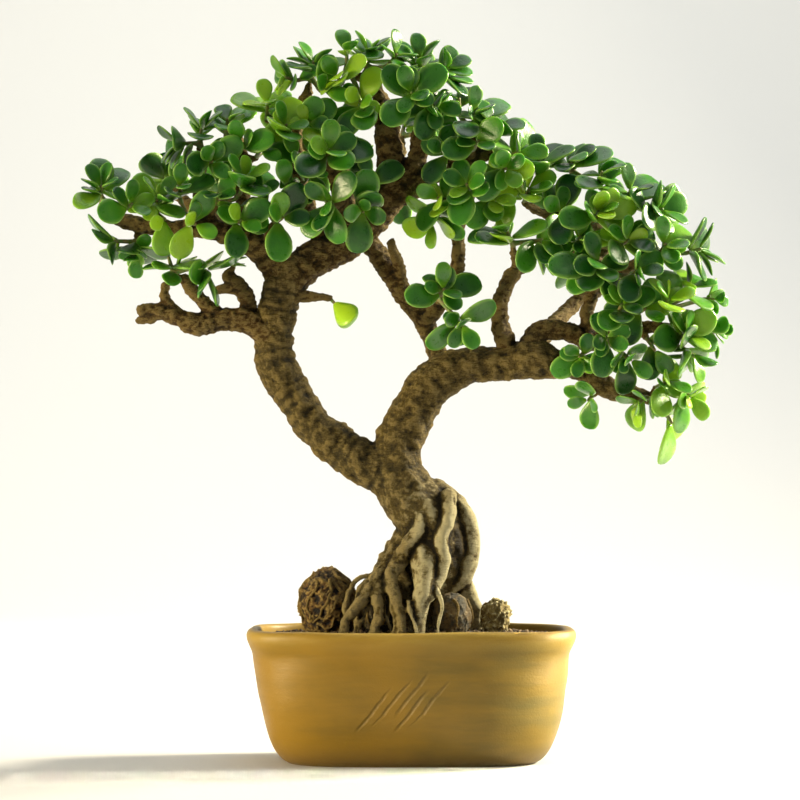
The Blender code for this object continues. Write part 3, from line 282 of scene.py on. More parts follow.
# Places kept free of further leaves, where one sees through the crown or sees a bare limb: x and z as seen
# from the front, and reach.
OPEN_PLACES = [
    (-133, 352, 9), (-28, 228, 38), (-44, 258, 13), (9, 284, 9), (41, 276, 11), (44, 243, 8), (64, 257, 12),
    (71, 301, 10), (-108, 257, 7), (95, 190, 12), (-170, 303, 4), (-160, 300, 4), (-150, 298, 4),
    (-140, 297, 4), (-130, 297, 4), (-120, 296, 4), (-110, 295, 4), (-100, 292, 4), (-86, 284, 5),
    (-11, 352, 7), (-10, 338, 8), (-9, 322, 8), (-24, 298, 7), (10, 328, 5), (22, 332, 5), (56, 268, 4),
    (86, 241, 5), (98, 237, 5), (68, 232, 6), (100, 212, 4), (112, 206, 4), (-72, 300, 5), (-78, 336, 5),
    (-20, 374, 5), (92, 308, 4), (118, 274, 4), (128, 240, 4), (-128, 322, 4)]

# A leaf's shape as shares of its length.
LEAF_BEND = -0.10
LEAF_THICKNESS_SHARE = 0.115
LEAF_WIDTH_SHARE = 0.72

# A packed leaf's corners: three up each edge, then the middles of its upper and lower faces.
PACKED_U = np.array((0.22, 0.6, 0.94, 0.94, 0.6, 0.22, 0.56, 0.56))
PACKED_V = np.array((1, 1, 1, -1, -1, -1, 0, 0), float)
PACKED_W = np.array((0, 0, 0, 0, 0, 0, 1, -1), float)
RIM_CORNERS = 6

# The fine leaf: rings along it, each an oval of eight corners.
RING_U = np.array((0.0, 0.12, 0.33, 0.56, 0.78, 0.94))
RING_SIDES = 8
LEAF_FULLNESS = 1.07
LEAF_PLUMPNESS = 1.45

# Where along and across a leaf its room is measured, and how far the other leaves stay from it there.
PROBE_U = (0.28, 0.45, 0.62, 0.79, 0.97)
PROBE_V = (-0.95, -0.45, 0.0, 0.45, 0.95)
PROBE_ROOM = np.repeat((0.8, 1.3, 1.9, 2.1, 2.1), len(PROBE_V))
PROBE_REACH = 22.0
WOOD_ROOM = 1.4
BOX_ROOM = 0.6

# Added leaves: the angle between a leaf and its stem, the stem's radius, the leaves' sizes, each tried a few
# times over, and how far one is scaled, turned round the stem, tilted and moved down it from its neighbour.
LEAF_LIFT = math.radians(60)
STEM_RADIUS = 1.5
ADDED_SIZES = (1.05, 0.9, 0.75)
TRIES = 4
LONGEST_LEAF = 25.0
YOUNG_LEAF = 15.0
SCALE_RANGE = (0.9, 1.05)
TURN_RANGE = (25, 335)
TILT_RANGE = (-38, 26)
SLIDE_RANGE = (0.0, 4.6)

# The square face that a packed spray's stem stands on.
FOOT_SIDE = 3.0
FOOT_TOLERANCE = 0.04

# The height up to which the wood is bare, and over how much it fades. The painted shade in the hollow behind
# the bow of
# roots: its middle and reach in x and z, and the depth behind which it lies.
BARE_TOP = 132
BARE_FADE = 26
PAINTED_SHADE_MIDDLE = (24.3, 116)
PAINTED_SHADE_REACH = (4.2, 16)
PAINTED_SHADE_FRONT = -15

# Each lamp: place, what it faces, size, energy, colour, and the angle its light spreads over, in degrees.
LAMPS = {
    "low_sun": ((1.25, 0.42, 0.80), (0, 0, 0.2), 0.3, 85, (1.0, 0.90, 0.68), 180),
    "warm_window": ((-1.2, -0.42, 0.16), (0, 0, 0.05), 0.5, 2.1, (1.0, 0.84, 0.52), 36),
    "sky": ((0.2, 0.1, 1.6), (0, 0, 0.2), 1.0, 8, (0.97, 0.99, 1.0), 180),
    "backdrop_wash": ((0, 0.9, 1.7), (0, 2.6, 0.5), 1.6, 26, (0.98, 1.0, 0.96), 180),
    "side_sun": ((0.80, -0.03, 0.20), (0.100, -0.05, 0.046), 0.02, 0.10, (1.0, 0.93, 0.72), 9),
}

# The table, in metres: its half width, its front edge, where its back starts to rise, the rise's radius and
# the height that it reaches.
TABLE_HALF_WIDTH = 4.0
TABLE_FRONT = -3.0
TABLE_BACK = 1.6
TABLE_RISE = 1.2
TABLE_TOP = 4.0

# The room's even light, and the camera: its film's width, how far it sees, and the height that it aims at, as
# a share of the view's width and an addition in metres.
ROOM_COLOUR = (0.99, 0.99, 0.96, 1)
ROOM_LIGHT = 0.31
FILM_WIDTH = 36
FAR_END = 20
AIM_SHARE = 0.4
AIM_LIFT = 0.0214


def colour_field(name, description, colour):
    return bpy.props.FloatVectorProperty(name=name, description=description, subtype="COLOR", size=3,
                                         default=colour, min=0, max=1)


def length_field(name, description, length):
    return bpy.props.FloatProperty(name=name, description=description, default=length, min=0.0004,
                                   unit="LENGTH")


class BonsaiLeafSettings(bpy.types.PropertyGroup):
    deep_green: colour_field("Deep green", "Colour of an old leaf in the shade", (0.007, 0.064, 0.006))
    fresh_green: colour_field("Fresh green", "Colour of a full-grown leaf in the light",
                              (0.046, 0.215, 0.009))
    sunlit_green: colour_field("Sunlit green", "Colour of a thin leaf that the sun shines through",
                               (0.34, 0.56, 0.02))
    rim_colour: colour_field("Rim", "Colour of a leaf's margin", (0.27, 0.47, 0.08))


class BonsaiWoodSettings(bpy.types.PropertyGroup):
    trunk_voxel: length_field("Trunk grain", "Size of the skin's cells on the trunk and roots", 0.00084)
    limb_voxel: length_field("Limb grain", "Size of the skin's cells on the limbs and twigs", 0.00092)
    # The pale colour also paints highlight on the ridges, and the dark one paints shade in the hollows, the
    # grooves and behind the bow of roots.
    pale_bark: colour_field("Pale bark", "Colour of the bark's ridges", (0.31, 0.225, 0.075))
    dark_bark: colour_field("Dark bark", "Colour of the bark's hollows", (0.013, 0.009, 0.002))


class BonsaiPotSettings(bpy.types.PropertyGroup):
    ochre: colour_field("Ochre", "Colour of the glaze", (0.225, 0.128, 0.009))
    # Olive also paints shade, darkening the glaze toward the pot's right end.
    olive: colour_field("Olive", "Colour of the glaze where it lies thick", (0.088, 0.066, 0.012))
    grain_count: bpy.props.IntProperty(
        name="Grains", description="How many loose grains lie on the soil", default=2600, min=0)


class BonsaiStageSettings(bpy.types.PropertyGroup):
    eye_distance: length_field("Distance", "How far the camera stands from the trunk", 1.5)
    eye_height: length_field("Height", "How high the camera stands over the table", 0.15)
    view_width: length_field("Width", "How much the picture spans at the trunk", 0.44)


def unit(vectors):
    return vectors / np.linalg.norm(vectors, axis=-1, keepdims=True)


def round_angles(sides):
    return np.arange(sides) * 2 * math.pi / sides


def seen(x, depth, z):
    """The places of points seen at x, z in the trunk's plane, slid along their sight lines to their depth."""
    near = (EYE_DISTANCE + depth) / EYE_DISTANCE
    return np.stack([EYE_X + (x - EYE_X) * near, depth + 0 * near,
                     EYE_HEIGHT + (z - NEAR_EDGE_DROP - EYE_HEIGHT) * near], axis=-1)


def as_seen(points):
    """Where points are seen from the front, as x and z in the trunk's plane."""
    near = (EYE_DISTANCE + points[..., 1]) / EYE_DISTANCE
    return (EYE_X + (points[..., 0] - EYE_X) / near,
            EYE_HEIGHT + NEAR_EDGE_DROP + (points[..., 2] - EYE_HEIGHT) / near)


def ripple(points, size, seed):
    """Even noise: sine waves of about one size that run in random directions, added up, and scaled to about
    one."""
    draw = np.random.default_rng(seed)
    spread = draw.normal(size=(NOISE_WAVES, 3))
    ways = unit(spread) / (size * draw.uniform(0.6, 1.7, (NOISE_WAVES, 1)))
    starts = draw.uniform(0, 2 * math.pi, NOISE_WAVES)
    return np.sin(2 * math.pi * points @ ways.T + starts).sum(axis=1) / math.sqrt(NOISE_WAVES / 2)


def spline(knots, span, t):
    """Points on a Catmull-Rom spline, each a share t of the way along its span. The spline runs from the
    second knot to the last but one."""
    before, start, end, after = (knots[span + shift] for shift in range(4))
    t = t[:, None]
    return 0.5 * (2 * start + (end - before) * t + (2 * before - 5 * start + 4 * end - after) * t**2
                  + (3 * start - before - 3 * end + after) * t**3)


def smooth_run(rows, step):
    """Points and radii about a step apart on the smooth curve through the rows."""
    rows = np.array(rows, float)
    knots = np.column_stack([seen(*rows[:, :3].T), rows[:, 3]])
    padded = np.vstack([2 * knots[0] - knots[1], knots, 2 * knots[-1] - knots[-2]])
    lengths = np.linalg.norm(np.diff(knots[:, :3], axis=0), axis=1)
    pieces = np.maximum(1, np.round(lengths / step)).astype(int)
    span = np.repeat(np.arange(len(pieces)), pieces)
    t = ((np.arange(len(span)) - np.repeat(np.cumsum(pieces) - pieces, pieces)) + 1) / pieces[span]
    run = np.vstack([knots[:1], spline(padded, span, t)])
    return run[:, :3], run[:, 3]


def off_stones(points, radii, gap):
    """Points of a root pushed straight out from the middle of every stone, so that the root lies over it."""
    for middle, half, _ in STONES.values():
        centre = seen(*middle)
        room = np.array(half) + (radii + gap)[:, None]
        reach = np.linalg.norm((points - centre) / room, axis=1, keepdims=True)
        points = np.where(reach < 1, centre + (points - centre) / np.maximum(reach, 0.05), points)
    return points


def refined(points, radii, step):
    """The same course with its points a step apart and its corners rounded by means of neighbours, and how
    far along it each point lies."""
    along = np.concatenate([[0], np.cumsum(np.linalg.norm(np.diff(points, axis=0), axis=1))])
    fine = np.linspace(0, along[-1], max(4, int(along[-1] / step)))
    course = np.column_stack([np.interp(fine, along, column) for column in (*points.T, radii)])
    window = max(1, int(ROUNDING_REACH / step))
    kernel = np.ones(2 * window + 1) / (2 * window + 1)
    for _ in range(ROUNDING_PASSES):
        before = 2 * course[0] - course[window:0:-1]
        after = 2 * course[-1] - course[-2:-window - 2:-1]
        padded = np.vstack([before, course, after])
        course = np.column_stack([np.convolve(column, kernel, "valid") for column in padded.T])
    return course[:, :3], course[:, 3], fine


def tube_grid(points, radii, angles, relief):
    """A tube's corners: circles square to the course, each corner a radius and its relief away from it."""
    tangents = unit(np.gradient(points, axis=0))
    axes = np.eye(3)
    reference = axes[np.argmin(np.abs(tangents @ axes).max(axis=0))]
    across = unit(np.cross(tangents, reference))
    other = np.cross(tangents, across)
    spokes = np.cos(angles)[None, :, None] * across[:, None] + np.sin(angles)[None, :, None] * other[:, None]
    return points[:, None] + spokes * (radii[:, None] + relief)[..., None]


def grid_faces(rows, columns, first=0):
    """The quads of a tube of rows of corners that close on themselves."""
    row, column = np.meshgrid(np.arange(rows - 1), np.arange(columns), indexing="ij")
    row, column = row.ravel(), column.ravel()
    ahead = (column + 1) % columns
    return first + np.column_stack([row * columns + column, row * columns + ahead,
                                    (row + 1) * columns + ahead, (row + 1) * columns + column])


def capped_faces(rows, sides, first=0):
    """A tube's quads, and one face that closes each of its ends."""
    last = first + (rows - 1) * sides
    caps = [list(range(first + sides - 1, first - 1, -1)), list(range(last, last + sides))]
    return grid_faces(rows, sides, first).tolist() + caps


def joined_tubes(grids):
    """The corners and faces of many closed tubes, each given as rings of corners."""
    points, faces, count = [], [], 0
    for grid in grids:
        rows, sides = grid.shape[:2]
        points.append(grid.reshape(-1, 3))
        faces += capped_faces(rows, sides, count)
        count += rows * sides
    return np.vstack(points), faces


def new_object(name, data):
    made = bpy.data.objects.new(name, data)
    bpy.context.scene.collection.objects.link(made)
    return made


def new_piece(name, points, faces, smooth=True):
    """A mesh object in metres, from points in millimetres."""
    mesh = bpy.data.meshes.new(name)
    mesh.from_pydata((np.asarray(points) * MM).tolist(), [], [list(map(int, face)) for face in faces])
    mesh.update()
    if smooth:
        mesh.shade_smooth()
    return new_object(name, mesh)


def read_rows(items, name, size, kind=np.float32):
    """What each of a mesh's items holds under a name, a row for each."""
    values = np.empty(len(items) * size, kind)
    items.foreach_get(name, values)
    return values.reshape(-1, size)


def corners_of(piece):
    """A mesh's corners and their normals, in millimetres and as unit vectors."""
    points = read_rows(piece.data.vertices, "co", 3)
    normals = read_rows(piece.data.vertex_normals, "vector", 3)
    return points.astype(float) / MM, normals.astype(float)


def move_corners(piece, points):
    piece.data.vertices.foreach_set("co", (points * MM).astype(np.float32).ravel())
    piece.data.update()


def add_values(piece, name, values):
    """Stores one number for each corner, for the material to read."""
    stored = piece.data.attributes.new(name, "FLOAT", "POINT")
    stored.data.foreach_set("value", np.asarray(values, np.float32).ravel())


def hollowness(piece, passes):
    """How far each corner stands out of the surface round it, in millimetres: its height over its neighbours'
    mean, taken repeatedly."""
    points, normals = corners_of(piece)
    ends = read_rows(piece.data.edges, "vertices", 2, np.int32).T
    count = np.bincount(ends.ravel(), minlength=len(points))[:, None]
    smooth = points.copy()
    for _ in range(passes):
        total = np.zeros_like(smooth)
        for axis in range(3):
            for one, other in (ends, ends[::-1]):
                total[:, axis] += np.bincount(one, smooth[other, axis], len(points))
        smooth = total / np.maximum(count, 1)
    return np.einsum("ij,ij->i", points - smooth, normals)


def add_relief(piece, passes):
    """Stores how far each corner stands out, for the material to read."""
    add_values(piece, "relief", np.clip(hollowness(piece, passes) * RELIEF_GAIN, -1, 1))


def settle(piece):
    """Applies a piece's modifiers."""
    graph = bpy.context.evaluated_depsgraph_get()
    mesh = bpy.data.meshes.new_from_object(piece.evaluated_get(graph))
    piece.modifiers.clear()
    piece.data = mesh
    return piece


def hand_over(piece, paint, slot, *nodes):
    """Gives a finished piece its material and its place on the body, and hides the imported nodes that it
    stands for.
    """
    piece.data.materials.clear()
    piece.data.materials.append(paint)
    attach(piece, BODY)
    if nodes:
        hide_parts(*nodes)
    return piece


class Value:
    """A shader value that adds up like a number: each operator lays a Math node and gives its result."""

    def __init__(self, paint, socket):
        self.paint = paint
        self.socket = socket

    def math(self, operation, *others):
        return self.paint.node("ShaderNodeMath", {"operation": operation}, dict(enumerate((self, *others))))

    def __add__(self, other):
        return self.math("ADD", other)

    def __sub__(self, other):
        return self.math("SUBTRACT", other)

    def __rsub__(self, other):
        return self.paint.node("ShaderNodeMath", {"operation": "SUBTRACT"}, {0: other, 1: self})

    def __mul__(self, other):
        return self.math("MULTIPLY", other)

    __radd__ = __add__
    __rmul__ = __mul__

    def between(self, low, high):
        """Zero at low, one at high, and smooth in between."""
        return self.paint.node("ShaderNodeMapRange", {"interpolation_type": "SMOOTHSTEP"},
                               {"Value": self, "From Min": low, "From Max": high})


class Paint:
    """A material under construction."""

    def __init__(self, name):
        self.material = bpy.data.materials.new(name)
        self.material.use_nodes = True
        self.tree = self.material.node_tree
        self.shader = self.tree.nodes["Principled BSDF"]
        self.place = self.node("ShaderNodeTexCoord", {}, {}, "Object")

    def node(self, kind, settings, sockets, output=0):
        """Lays one node: its settings first, then its sockets' values or links. Gives one of its outputs."""
        made = self.tree.nodes.new(kind)
        stops = settings.get("stops")
        for name, setting in settings.items():
            if name != "stops":
                setattr(made, name, setting)
        if stops:
            ramp = made.color_ramp.elements
            while len(ramp) < len(stops):
                ramp.new(1)
            for stop, (position, colour) in zip(ramp, stops):
                stop.position = position
                stop.color = (*colour, 1)
        for name, given in sockets.items():
            self.set(made.inputs[name], given)
        return Value(self, made.outputs[output])

    def set(self, socket, given):
        if isinstance(given, Value):
            self.tree.links.new(given.socket, socket)
        elif isinstance(given, (tuple, list)) and len(given) == 3 and socket.type == "RGBA":
            socket.default_value = (*given, 1)
        else:
            socket.default_value = given

    def noise(self, scale, detail=3.0, roughness=0.55, stretch=(1, 1, 1), distortion=0.0):
        """Cloudy noise from 0 to 1, its scale in waves per metre."""
        where = self.place
        if stretch != (1, 1, 1):
            where = self.node("ShaderNodeMapping", {}, {"Vector": where, "Scale": stretch})
        return self.node("ShaderNodeTexNoise", {}, {"Vector": where, "Scale": scale, "Detail": detail,
                                                    "Roughness": roughness, "Distortion": distortion})

    def cells(self, scale):
        """The distance to the nearest of scattered points, scale of them to a metre."""
        return self.node("ShaderNodeTexVoronoi", {}, {"Vector": self.place, "Scale": scale})

    def stored(self, name):
        """What add_values stored under a name."""
        return self.node("ShaderNodeAttribute", {"attribute_name": name}, {}, "Fac")

    def axis(self, letter):
        """How far a point lies along an axis, in metres."""
        return self.node("ShaderNodeSeparateXYZ", {}, {"Vector": self.place}, letter)

    def blend(self, first, second, share):
        """One colour where share is 0 and the other where it is 1."""
        made = self.tree.nodes.new("ShaderNodeMix")
        made.data_type = "RGBA"
        self.set(made.inputs["Factor"], share)
        self.set(made.inputs[6], first)
        self.set(made.inputs[7], second)
        return Value(self, made.outputs[2])

    def bump(self, height, distance, normal=None):
        sockets = {"Height": height, "Distance": distance, "Strength": 1.0}
        if normal:
            sockets["Normal"] = normal
        return self.node("ShaderNodeBump", {}, sockets)

    def finish(self, **sockets):
        """Sets the shader's sockets, an underscore standing for a space, and gives the material."""
        for name, given in sockets.items():
            self.set(self.shader.inputs[name.replace("_", " ")], given)
        return self.material


def leaf_paint(settings):
    """Fleshy leaf: deep to sunlit green by the leaf, paler on its margin and foot, under a waxy skin."""
    paint = Paint("jade_leaf")
    mottle = paint.noise(260.0, 4.0)
    cloud = paint.noise(75.0, 2.0)
    light = paint.stored("light")
    deep, fresh, sunlit, pale = (tuple(colour) for colour in (
        settings.deep_green, settings.fresh_green, settings.sunlit_green, settings.rim_colour))
    shade = (light * 1.5 + (mottle - 0.5) * 0.4 + (cloud - 0.5) * 0.7).between(0.0, 0.95)
    sunny = (light + (cloud - 0.5) * 0.35).between(0.50, 1.0)
    foot = (1 - paint.stored("along").between(0.0, 0.42)) * 0.30
    margin = paint.stored("rim").between(0.62, 1.0) * 0.7
    colour = paint.blend(deep, fresh, shade)
    for tone, share in ((sunlit, sunny), (sunlit, foot), (pale, margin)):
        colour = paint.blend(colour, tone, share)
    skin = paint.bump(mottle * 0.5 + paint.cells(1100.0) * 0.2, 0.0003)
    return paint.finish(
        Base_Color=colour, Roughness=0.30 + (mottle - 0.5) * 0.2, Normal=skin, Subsurface_Weight=0.25,
        Subsurface_Scale=0.004, Subsurface_Radius=(0.6, 1.0, 0.1), Coat_Roughness=0.3, Coat_Weight=0.10,
        Specular_IOR_Level=0.36)


def stem_paint():
    """Young stem, green with brown patches."""
    paint = Paint("green_stem")
    mottle = paint.noise(400.0, 3.0)
    colour = paint.blend((0.10, 0.20, 0.03), (0.22, 0.17, 0.06), mottle.between(0.35, 0.65))
    return paint.finish(Base_Color=colour, Roughness=0.5, Normal=paint.bump(mottle, 0.0003))


def bark_paint(name, settings):
    """Bark: dark in its hollows, warm and then pale on its ridges, with grey patches; the dark hollows and
    pale ridges are partly painted shade and painted highlight. Bare wood has paler ridges and dark grooves,
    which are painted highlight and painted shade over the bare wood's own pale colour, and below zero the
    stored root value is painted shade."""
    paint = Paint(name)
    grey, bare_wood_highlight = (0.078, 0.064, 0.028), (0.54, 0.48, 0.27)
    relief = paint.stored("relief")
    root = paint.stored("root")
    grain = paint.noise(1000.0, 6.0, 0.8)
    streak = paint.noise(330.0, 5.0, 0.7, stretch=(0.55, 0.55, 2.2))
    cloud = paint.noise(38.0, 3.0)
    relief_and_noise = relief * 0.75 + (grain - 0.5) * 2.8 + (streak - 0.5) * 0.8
    patches = cloud.between(0.40, 0.70) * (1 - root * 0.6) * 0.45
    # Pale ridges: the bark's own grain, with painted highlight where the relief stands out, more on bare wood.
    ridges = relief_and_noise.between(0.06, 0.62) * (root * 0.4 + 0.6)
    # Bare wood: painted highlight on its crests and painted shade in its grooves.
    crests = root * (relief + (grain - 0.5) * 0.9).between(0.02, 0.60)
    grooves = root * (1 - (relief + (grain - 0.5)).between(-0.55, -0.05))
    shade = (0.0 - root).between(0.0, 0.8) * 0.9
    dark, pale = tuple(settings.dark_bark), tuple(settings.pale_bark)
    # Dark where the relief is low: partly the bark's own dark hollows, partly painted shade.
    colour = paint.blend(dark, WARM_BARK[name], relief_and_noise.between(-0.62, 0.06))
    for tone, share in ((grey, patches), (pale, ridges), (bare_wood_highlight, crests), (dark, grooves + shade)):
        colour = paint.blend(colour, tone, share)
    return paint.finish(Base_Color=colour, Roughness=0.70 + (grain - 0.5) * 0.3,
                        Normal=paint.bump(streak, 0.0028, paint.bump(grain, 0.0012)), Specular_IOR_Level=0.15)


def stone_paint(name, pit_shade, dark, warm, pale):
    """Rough stone: painted shade in each pit by the share given, warm rust patches and pale crests that are
    painted highlights.
    """
    paint = Paint(name)
    pit_shade_colour = (0.006, 0.004, 0.002)
    grain = paint.noise(900.0, 6.0, 0.75)
    patch = paint.noise(150.0, 4.0, 0.6, distortion=0.6)
    relief_and_noise = paint.stored("relief") * 0.8 + (grain - 0.5) * 1.6
    colour = paint.blend(dark, warm, patch.between(0.40, 0.62))
    # Painted shade in each pit, where the relief is low.
    colour = paint.blend(colour, pit_shade_colour, (1 - relief_and_noise.between(-0.6, 0.15)) * pit_shade)
    # Painted highlight on the crests, where the relief is high.
    colour = paint.blend(colour, pale, relief_and_noise.between(0.25, 0.8) * 0.8)
    return paint.finish(Base_Color=colour, Roughness=0.7 + (grain - 0.5) * 0.4,
                        Normal=paint.bump(grain, 0.0018), Specular_IOR_Level=0.35)


def comb_marks(across, depth, height, wobble):
    """A plain row of slanted comb strokes on the pot's front: one in a stroke, and zero beside it."""
    slant, middle, spacing = 0.8, 0.036, 0.0068
    lean = across - (height - middle) * slant + wobble
    stroke = ((lean * (1 / spacing)).math("FRACT") - 0.5).math("ABSOLUTE")
    front = 1 - depth.between(-0.04, -0.02)
    row = lean.between(-0.020, -0.017) * (1 - lean.between(0.0135, 0.0165)) * front
    ends = height + (lean * 310).math("SINE") * 0.005
    band = ends.between(0.0225, 0.030) * (1 - ends.between(0.041, 0.049))
    return (1 - stroke.between(0.03, 0.24)) * row * band


def glaze_paint(settings):
    """Satin glaze: cloudy ochre and olive, with olive also painted in as shade toward the pot's right end,
    paler where it thins on the lip and browner at the foot, with brushed marks, a few specks and the comb
    strokes."""
    paint = Paint("ochre_glaze")
    lip, foot = (0.34, 0.235, 0.045), (0.13, 0.085, 0.03)
    specks, groove = (0.16, 0.11, 0.04), (0.10, 0.065, 0.015)
    across, depth, height = (paint.axis(letter) for letter in "XYZ")
    cloud = paint.noise(16.0, 3.0, 0.55, distortion=0.4)
    brushed = paint.noise(42.0, 4.0, 0.6, stretch=(0.35, 0.35, 2.2))
    speck = paint.noise(900.0, 2.0)
    comb = comb_marks(across, depth, height, (brushed - 0.5) * 0.004)
    thick = (cloud * 0.75 + (brushed - 0.5) * 0.55).between(0.26, 0.62)
    # Olive's share: the thick glaze's clouds, plus painted shade that grows toward the pot's right end.
    share = thick * 0.55 + across.between(-0.065, 0.080) * 0.5
    thin = height.between(0.060, 0.0735) * brushed.between(0.3, 0.7) * 0.7
    colour = paint.blend(tuple(settings.ochre), tuple(settings.olive), share)
    for tone, amount in ((lip, thin), (foot, (1 - height.between(0.0, 0.016)) * 0.55),
                         (specks, speck.between(0.68, 0.78) * 0.5), (groove, comb * 0.42)):
        colour = paint.blend(colour, tone, amount)
    surface = brushed * 0.5 + speck * 0.12 - comb * 0.6
    return paint.finish(Base_Color=colour, Roughness=0.46 + (brushed - 0.5) * 0.25,
                        Normal=paint.bump(surface, 0.0009), Specular_IOR_Level=0.26)


def soil_paint():
    """Dark soil: damp brown crumbs with grit."""
    paint = Paint("dark_soil")
    damp, dry = (0.016, 0.010, 0.006), (0.085, 0.055, 0.03)
    crumbs = paint.cells(480.0)
    grain = paint.noise(800.0, 4.0)
    colour = paint.blend(damp, dry, (crumbs + (grain - 0.5) * 0.6).between(0.2, 0.8))
    return paint.finish(Base_Color=colour, Roughness=0.92, Normal=paint.bump(crumbs + grain * 0.5, 0.002))


def grain_paint():
    """Loose grains, from peat brown to tan grit by the grain."""
    paint = Paint("soil_grains")
    kind = paint.stored("kind")
    colour = paint.node("ShaderNodeValToRGB", {"stops": [
        (0.0, (0.015, 0.010, 0.006)), (0.45, (0.05, 0.032, 0.017)), (0.75, (0.14, 0.09, 0.045)),
        (0.93, (0.30, 0.21, 0.11)), (1.0, (0.42, 0.34, 0.22))]}, {"Fac": kind})
    grain = paint.noise(1500.0, 3.0)
    return paint.finish(Base_Color=colour, Roughness=0.9, Normal=paint.bump(grain, 0.0006))


def limb_course(name):
    """A limb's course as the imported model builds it: every few millimetres on its curve, over the stones."""
    points, radii = smooth_run(LIMBS[name], LIMB_STEP)
    return (off_stones(points, radii, ROOT_GAP) if name == "trunk" else points), radii


def scarred(along, angles, radii, seed, ring_space, ring_depth):
    """How far bark stands out round a limb: swellings between ring scars, strands along it and some knobs."""
    draw = np.random.default_rng(seed)
    knots = np.linspace(0, along[-1] + 1, DRIFT_KNOTS)
    drift = np.interp(along, knots, draw.uniform(-0.9, 0.9, DRIFT_KNOTS))[:, None]
    start = draw.uniform(0, 6)
    angles, along_column, radii_column = angles[None], along[:, None], radii[:, None]
    turns = along_column / ring_space + drift + 0.13 * np.sin(angles + start)
    turns = turns + 0.05 * np.sin(3 * angles + 5 * drift)
    ring = np.abs(np.sin(math.pi * turns)) ** 0.45 - 0.75
    strand = np.sin(5 * angles + along_column / 14 + 4 * drift) + 0.6 * np.sin(9 * angles - along_column / 23)
    relief = ring * ring_depth * np.minimum(1, radii_column / 5) + 0.022 * radii_column * strand
    for _ in range(int(along[-1] / KNOB_SPACING)):
        where, turn = draw.uniform(0, along[-1]), draw.uniform(0, 2 * math.pi)
        wide = draw.uniform(1.3, 2.6)
        radius = np.interp(where, along, radii)
        gap = (along_column - where) ** 2 + (radius * np.sin((angles - turn) / 2) * 2) ** 2
        height = draw.uniform(0.5, 1.5) * min(1, radius / 6)
        relief = relief + height * np.exp(-gap / (2 * wide**2))
    return relief


def wood_skin(name, courses, voxel):
    """One skin over many tubes. Each tube has rounded ends, and a voxel remesh joins them all."""
    grids = []
    for seed, (course, radii, *rings) in enumerate(courses):
        course, radii, along = refined(course, radii, SKIN_STEP)
        angles = round_angles(int(np.clip(radii.max() * 5, 14, 60)))
        relief = scarred(along, angles, radii, seed, *rings)
        grid = tube_grid(course, radii * LIMB_FULLNESS, angles, relief)
        grids.append(np.concatenate([rounded_end(grid[0], course[0] - course[1])[::-1], grid,
                                     rounded_end(grid[-1], course[-1] - course[-2])]))
    skin = new_piece(name, *joined_tubes(grids))
    change = skin.modifiers.new("join", "REMESH")
    change.mode = "VOXEL"
    change.voxel_size = voxel
    change.use_smooth_shade = True
    return settle(skin)


def rounded_end(ring, heading):
    """Three rings that close a tube in a low dome."""
    middle = ring.mean(axis=0)
    radius = np.linalg.norm(ring - middle, axis=1).mean()
    return (middle + (ring - middle) * np.cos(DOME_TURNS)
            + unit(heading) * radius * DOME_HEIGHT * np.sin(DOME_TURNS))


def roughened(piece, seed, coarse, fine, bareness_and_shade):
    """Pushes a skin's corners in and out by noise at three sizes, less so where the wood is bare, and stores
    how far each stands out and how bare it is, a value that also carries painted light and shade."""
    points, normals = corners_of(piece)
    bare = bareness_and_shade(points)
    push = coarse * ripple(points, 9.0, seed) + fine * ripple(points, 2.8, seed + 1)
    push += fine * 0.6 * ripple(points, 1.8, seed + 2)
    move_corners(piece, points + normals * (push * (1 - CALM_SHARE * np.maximum(bare, 0)))[:, None])
    add_relief(piece, WOOD_PASSES)
    add_values(piece, "root", bare)


def spray_corners(node):
    """A packed spray's corners in millimetres, with doubles merged, and each corner's neighbours."""
    mesh = bmesh.new()
    mesh.from_mesh(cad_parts[node].data)
    bmesh.ops.remove_doubles(mesh, verts=mesh.verts, dist=2e-6)
    mesh.verts.ensure_lookup_table()
    points = np.array([corner.co[:] for corner in mesh.verts]) / MM
    near = [{edge.other_vert(corner).index for edge in corner.link_edges} for corner in mesh.verts]
    return mesh, points, near


def half_width(u):
    """Half a leaf's width as a share of its length, on a short neck and widest past its middle:
    sin(pi u^1.3)^0.65."""
    u = np.clip(u, 0, 1)
    return np.maximum(np.sin(math.pi * u**1.3) ** 0.65 * LEAF_WIDTH_SHARE / 2, 0.07 * (1 - u))


def leaf_local(u, v, w):
    """A leaf's own coordinates: along it, across as a share v of its half width, up as a share w of its
    thickness. It bends down by the square of u and cups by the square of its width."""
    side = half_width(u) * v
    rise = LEAF_BEND * u**2 + 0.5 * side**2 / LEAF_WIDTH_SHARE + w * LEAF_THICKNESS_SHARE / 2
    return np.stack([u, side, rise], axis=-1)


